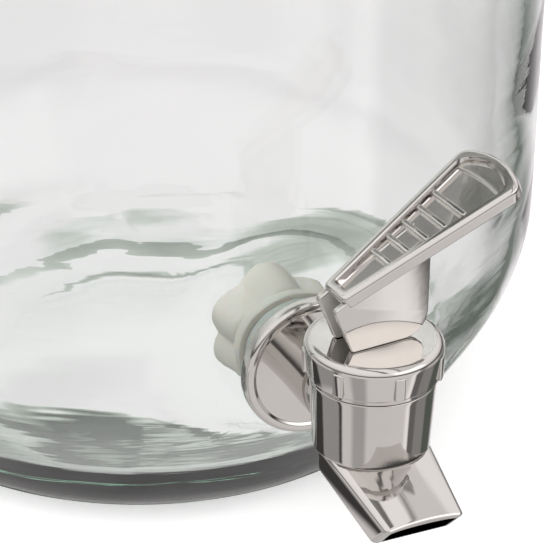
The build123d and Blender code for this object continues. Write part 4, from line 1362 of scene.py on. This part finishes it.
class Room(Nodes):
    """The painted room round the stage: screens low down, which the plating mirrors, under a white dome."""

    # Stops of each ramp: place, tone and, where it isn't the usual one, share of green. A table that starts
    # below 0 goes round the room in degrees; the others go by height or across.
    SCREENS = (
        (-180, 0.7, 0.95), (-173, 0.05), (-134, 0.05), (-130, 0.33), (-92, 0.33), (-90, 0.06), (-86, 0.06),
        (-83, 0.7), (-68, 0.68), (-60, 0.42), (-42, 0.42), (-34, 0.7), (36, 0.72), (42, 1.0), (46, 1.0), (49, 0.15),
        (60, 0.15), (64, 0.26), (86, 0.26), (92, 0.1, 1.1), (118, 0.1, 1.1), (134, 0.76, 0.95), (180, 0.7, 0.95),
    )
    LOWER = ((-180, 0.7, 0.95), (-130, 0.6), (-90, 0.6)) + SCREENS[7:]
    WELL = (
        (0.0, 0.55), (0.2, 0.5), (0.27, 0.42, 1.05), (0.3, 0.3, 1.08), (0.315, 0.09, 1.1), (0.38, 0.07, 1.1),
        (0.393, 0.2, 1.1), (0.42, 0.4, 1.06), (0.44, 0.7, 0.95),
    )
    WELL_ROUND = ((-180, 1.0), (-174, 1.0), (-166, 0.0), (122, 0.0), (130, 1.0), (180, 1.0))
    PALE = ((0.0, 0.55, 1.03), (1.0, 0.6, 1.03))
    DEEP = ((0.0, 0.6), (0.15, 0.55), (0.25, 0.3), (1.0, 0.3))
    UPPER = (
        (-180, 0.7, 0.95), (-150, 0.5), (-132, 0.62), (-96, 0.62), (-88, 0.3), (-82, 0.3), (-74, 0.72), (36, 0.78),
        (46, 0.9), (52, 0.3), (60, 0.3), (68, 0.55), (88, 0.55), (96, 0.3), (114, 0.3), (134, 0.76, 0.95),
        (180, 0.7, 0.95),
    )
    PATCHES = ((0.0, 0.0), (0.52, 0.0), (0.6, 0.7), (1.0, 0.7))
    HORIZON = ((-180, 0.75), (-150, 0.6), (-115, 0.14), (0, 0.1), (60, 0.06), (130, 0.08), (155, 0.6), (180, 0.75))
    DOME = ((0.0, 0.5), (0.3, 0.7), (0.5, 0.95), (1.0, 1.0))
    CEILING = (
        (0.0, 1.0), (0.45, 1.0), (0.48, 0.2), (0.51, 0.2), (0.53, 1.0), (0.62, 1.0), (0.645, 0.3), (0.67, 0.75),
        (0.8, 0.75), (0.825, 1.0), (1.0, 1.0),
    )
    WINDOW_ROUND = ((-180, 0.0), (4, 0.0), (14, 1.0), (62, 1.0), (72, 0.0))
    WINDOW_RISE = ((0.0, 0.0), (0.28, 0.0), (0.38, 1.0), (0.66, 1.0), (0.76, 0.0))
    CARD_ROUND = ((-180, 1.0), (-165, 1.0), (-155, 0.0), (155, 0.0), (165, 1.0), (180, 1.0))
    CARD_RISE = ((0.0, 0.0), (0.55, 0.0), (0.6, 1.0), (0.71, 1.0), (0.78, 0.0))
    # Heights of the view's direction between which each layer of the room gives way to the next.
    DEEP_EDGE = (-0.85, -0.75)
    LOWER_EDGE = (-0.7, -0.63)
    WELL_EDGE = (-0.575, -0.555)
    UPPER_EDGE = (-0.37, -0.3)
    HORIZON_EDGE = (-0.04, 0.05)
    DOME_EDGE = (0.1, 0.32)
    CEILING_EDGE = (0.72, 0.8)
    PATCH_SCALE = (5.0, 5.0, 26.0)
    WARMTH = 0.97
    POWER, WINDOW_POWER, CARD_SHADE = 1.2, 0.9, -0.95

    def paint(self):
        """Links tone and strength of the room to its background."""
        axes = self.split(self.where)
        rise = axes["Z"]
        turn = self.math("ARCTAN2", axes["X"], self.math("MULTIPLY", axes["Y"], -1.0))
        part = self.math("MULTIPLY_ADD", turn, 0.5 / math.pi, 0.5)
        depth = self.math("ADD", rise, 1.0)
        across = self.math("MULTIPLY_ADD", axes["X"], 0.5, 0.5)
        tone = self.ramp(part, self.SCREENS)
        tone = self.blend(rise, self.LOWER_EDGE, self.ramp(part, self.LOWER), tone)
        tone = self.blend(rise, self.DEEP_EDGE, self.ramp(depth, self.DEEP), tone)
        patches = self.ramp(self.noise(1.0, 2.0, self.stretched(self.PATCH_SCALE)), self.PATCHES)
        well = self.mixed(patches, self.ramp(depth, self.WELL), self.ramp(depth, self.PALE))
        shade = self.blend(rise, self.WELL_EDGE, well, tone)
        tone = self.mixed(self.ramp(part, self.WELL_ROUND), tone, shade)
        tone = self.blend(rise, self.UPPER_EDGE, tone, self.ramp(part, self.UPPER))
        tone = self.blend(rise, self.HORIZON_EDGE, tone, self.ramp(part, self.HORIZON))
        tone = self.blend(rise, self.DOME_EDGE, tone, self.ramp(rise, self.DOME))
        tone = self.blend(rise, self.CEILING_EDGE, tone, self.ramp(across, self.CEILING))
        window = self.math("MULTIPLY", self.ramp(part, self.WINDOW_ROUND), self.ramp(rise, self.WINDOW_RISE))
        card = self.math("MULTIPLY", self.ramp(part, self.CARD_ROUND), self.ramp(rise, self.CARD_RISE))
        power = self.math("MULTIPLY_ADD", window, self.WINDOW_POWER, self.POWER)
        power = self.math("MULTIPLY_ADD", card, self.CARD_SHADE, power)
        self.feed(self.tree.nodes["Background"], {"Color": tone, "Strength": power})

    def blend(self, rise, edge, below, above):
        """Two tones blended between two heights of the view's direction."""
        return self.mixed(self.spread(rise, 0.0, 1.0, *edge, interpolation_type="SMOOTHSTEP"), below, above)

    def ramp(self, value, stops):
        """Slightly warm tones along a value."""
        ramp = self.node("ShaderNodeValToRGB", {"Fac": value})
        marks = ramp.color_ramp.elements
        for _ in stops[2:]:
            marks.new(1.0)
        for mark, (place, *_) in zip(marks, stops):
            mark.position = 0.5 + place / 360 if stops[0][0] < 0 else place
        for mark, (_, tone, *green) in zip(marks, stops):
            mark.color = (tone, tone * (green[0] if green else self.WARMTH), tone * self.WARMTH, 1.0)
        return ramp.outputs["Color"]


class DISPENSER_OT_stage(bpy.types.Operator):
    """Sets the pale floor, the soft studio light and the camera"""

    bl_idname = "dispenser.stage"
    bl_label = "Stage"

    PHOTO_WIDTH = 550
    SENSOR = 36.0
    # Place, size and power of each soft light.
    LIGHTS = {
        "key_softbox": ((-0.9, -1.2, 1.5), 1.2, 20.0),
        "nut_fill": ((-0.045, -0.05, 0.12), 0.03, 0.02),
    }

    def execute(self, context):
        stage = context.scene.dispenser_stage
        self.floor(stage)
        world = bpy.data.worlds.new("studio")
        world.use_nodes = True
        context.scene.world = world
        Room(world.node_tree, "Generated").paint()
        for name, (place, size, power) in self.LIGHTS.items():
            self.light(name, place, size, power)
        self.camera(context.scene, stage)
        context.scene.view_settings.view_transform = "Standard"
        return {"FINISHED"}

    def floor(self, stage):
        """Pale floor under the object."""
        half = stage.floor_size
        corners = [(-half, -half, 0), (half, -half, 0), (half, half, 0), (-half, half, 0)]
        mesh = bpy.data.meshes.new("floor")
        mesh.from_pydata(corners, [], [[0, 1, 2, 3]])
        floor = linked("floor", mesh, once(pale_floor))
        floor.visible_glossy = False
        floor.visible_transmission = False

    def light(self, name, place, size, power):
        """Square soft light that points at the tap."""
        lamp = bpy.data.lights.new(name, "AREA")
        lamp.shape = "SQUARE"
        lamp.size = size
        lamp.energy = power
        holder = bpy.data.objects.new(name, lamp)
        holder.visible_camera = False
        holder.visible_glossy = False
        holder.visible_transmission = False
        aim = Vector((0, TAP_Y / 2, SHANK_Z)) - Vector(place)
        holder.matrix_world = Matrix.Translation(place) @ aim.to_track_quat("-Z", "Y").to_matrix().to_4x4()
        bpy.context.scene.collection.objects.link(holder)

    def camera(self, scene, stage):
        """Camera at the viewing angle of the picture."""
        lens = bpy.data.cameras.new("camera")
        lens.sensor_width = self.SENSOR
        lens.lens = stage.focal_pixels / self.PHOTO_WIDTH * self.SENSOR
        lens.clip_start = 0.01
        yaw, pitch, roll = stage.camera_yaw, stage.camera_pitch, stage.camera_roll
        view = Vector((-math.sin(yaw) * math.cos(pitch), math.cos(yaw) * math.cos(pitch), -math.sin(pitch)))
        level = Vector((math.cos(yaw), math.sin(yaw), 0))
        upright = level.cross(view)
        right = math.cos(roll) * level + math.sin(roll) * upright
        up = math.cos(roll) * upright - math.sin(roll) * level
        turn = Matrix((right, up, -view)).transposed().to_4x4()
        holder = bpy.data.objects.new("camera", lens)
        holder.matrix_world = Matrix.Translation(stage.camera_place) @ turn
        scene.collection.objects.link(holder)
        scene.camera = holder


STEPS = (
    DISPENSER_OT_glass_jar, DISPENSER_OT_tap_body, DISPENSER_OT_wall_pieces, DISPENSER_OT_bonnet, DISPENSER_OT_lever,
    DISPENSER_OT_lid, DISPENSER_OT_inner_pieces, DISPENSER_OT_stage,
)


class DISPENSER_PT_panel(bpy.types.Panel):
    """Lists the build steps and their settings"""

    bl_idname = "DISPENSER_PT_panel"
    bl_label = "Dispenser"
    bl_space_type = "VIEW_3D"
    bl_region_type = "UI"
    bl_category = "Dispenser"

    def draw(self, context):
        for step in STEPS:
            self.layout.operator(step.bl_idname)
        for name, group in SETTINGS.items():
            box = self.layout.box()
            for field in group.__annotations__:
                box.prop(getattr(context.scene, name), field)


def register():
    for name, group in SETTINGS.items():
        bpy.utils.register_class(group)
        setattr(bpy.types.Scene, name, PointerProperty(type=group))
    for item in (*STEPS, DISPENSER_PT_panel):
        bpy.utils.register_class(item)


def unregister():
    for item in (DISPENSER_PT_panel, *reversed(STEPS)):
        bpy.utils.unregister_class(item)
    for name, group in reversed(SETTINGS.items()):
        delattr(bpy.types.Scene, name)
        bpy.utils.unregister_class(group)


def main():
    register()
    for step in STEPS:
        family, name = step.bl_idname.split(".")
        getattr(getattr(bpy.ops, family), name)()


if __name__ == "__main__":
    main()
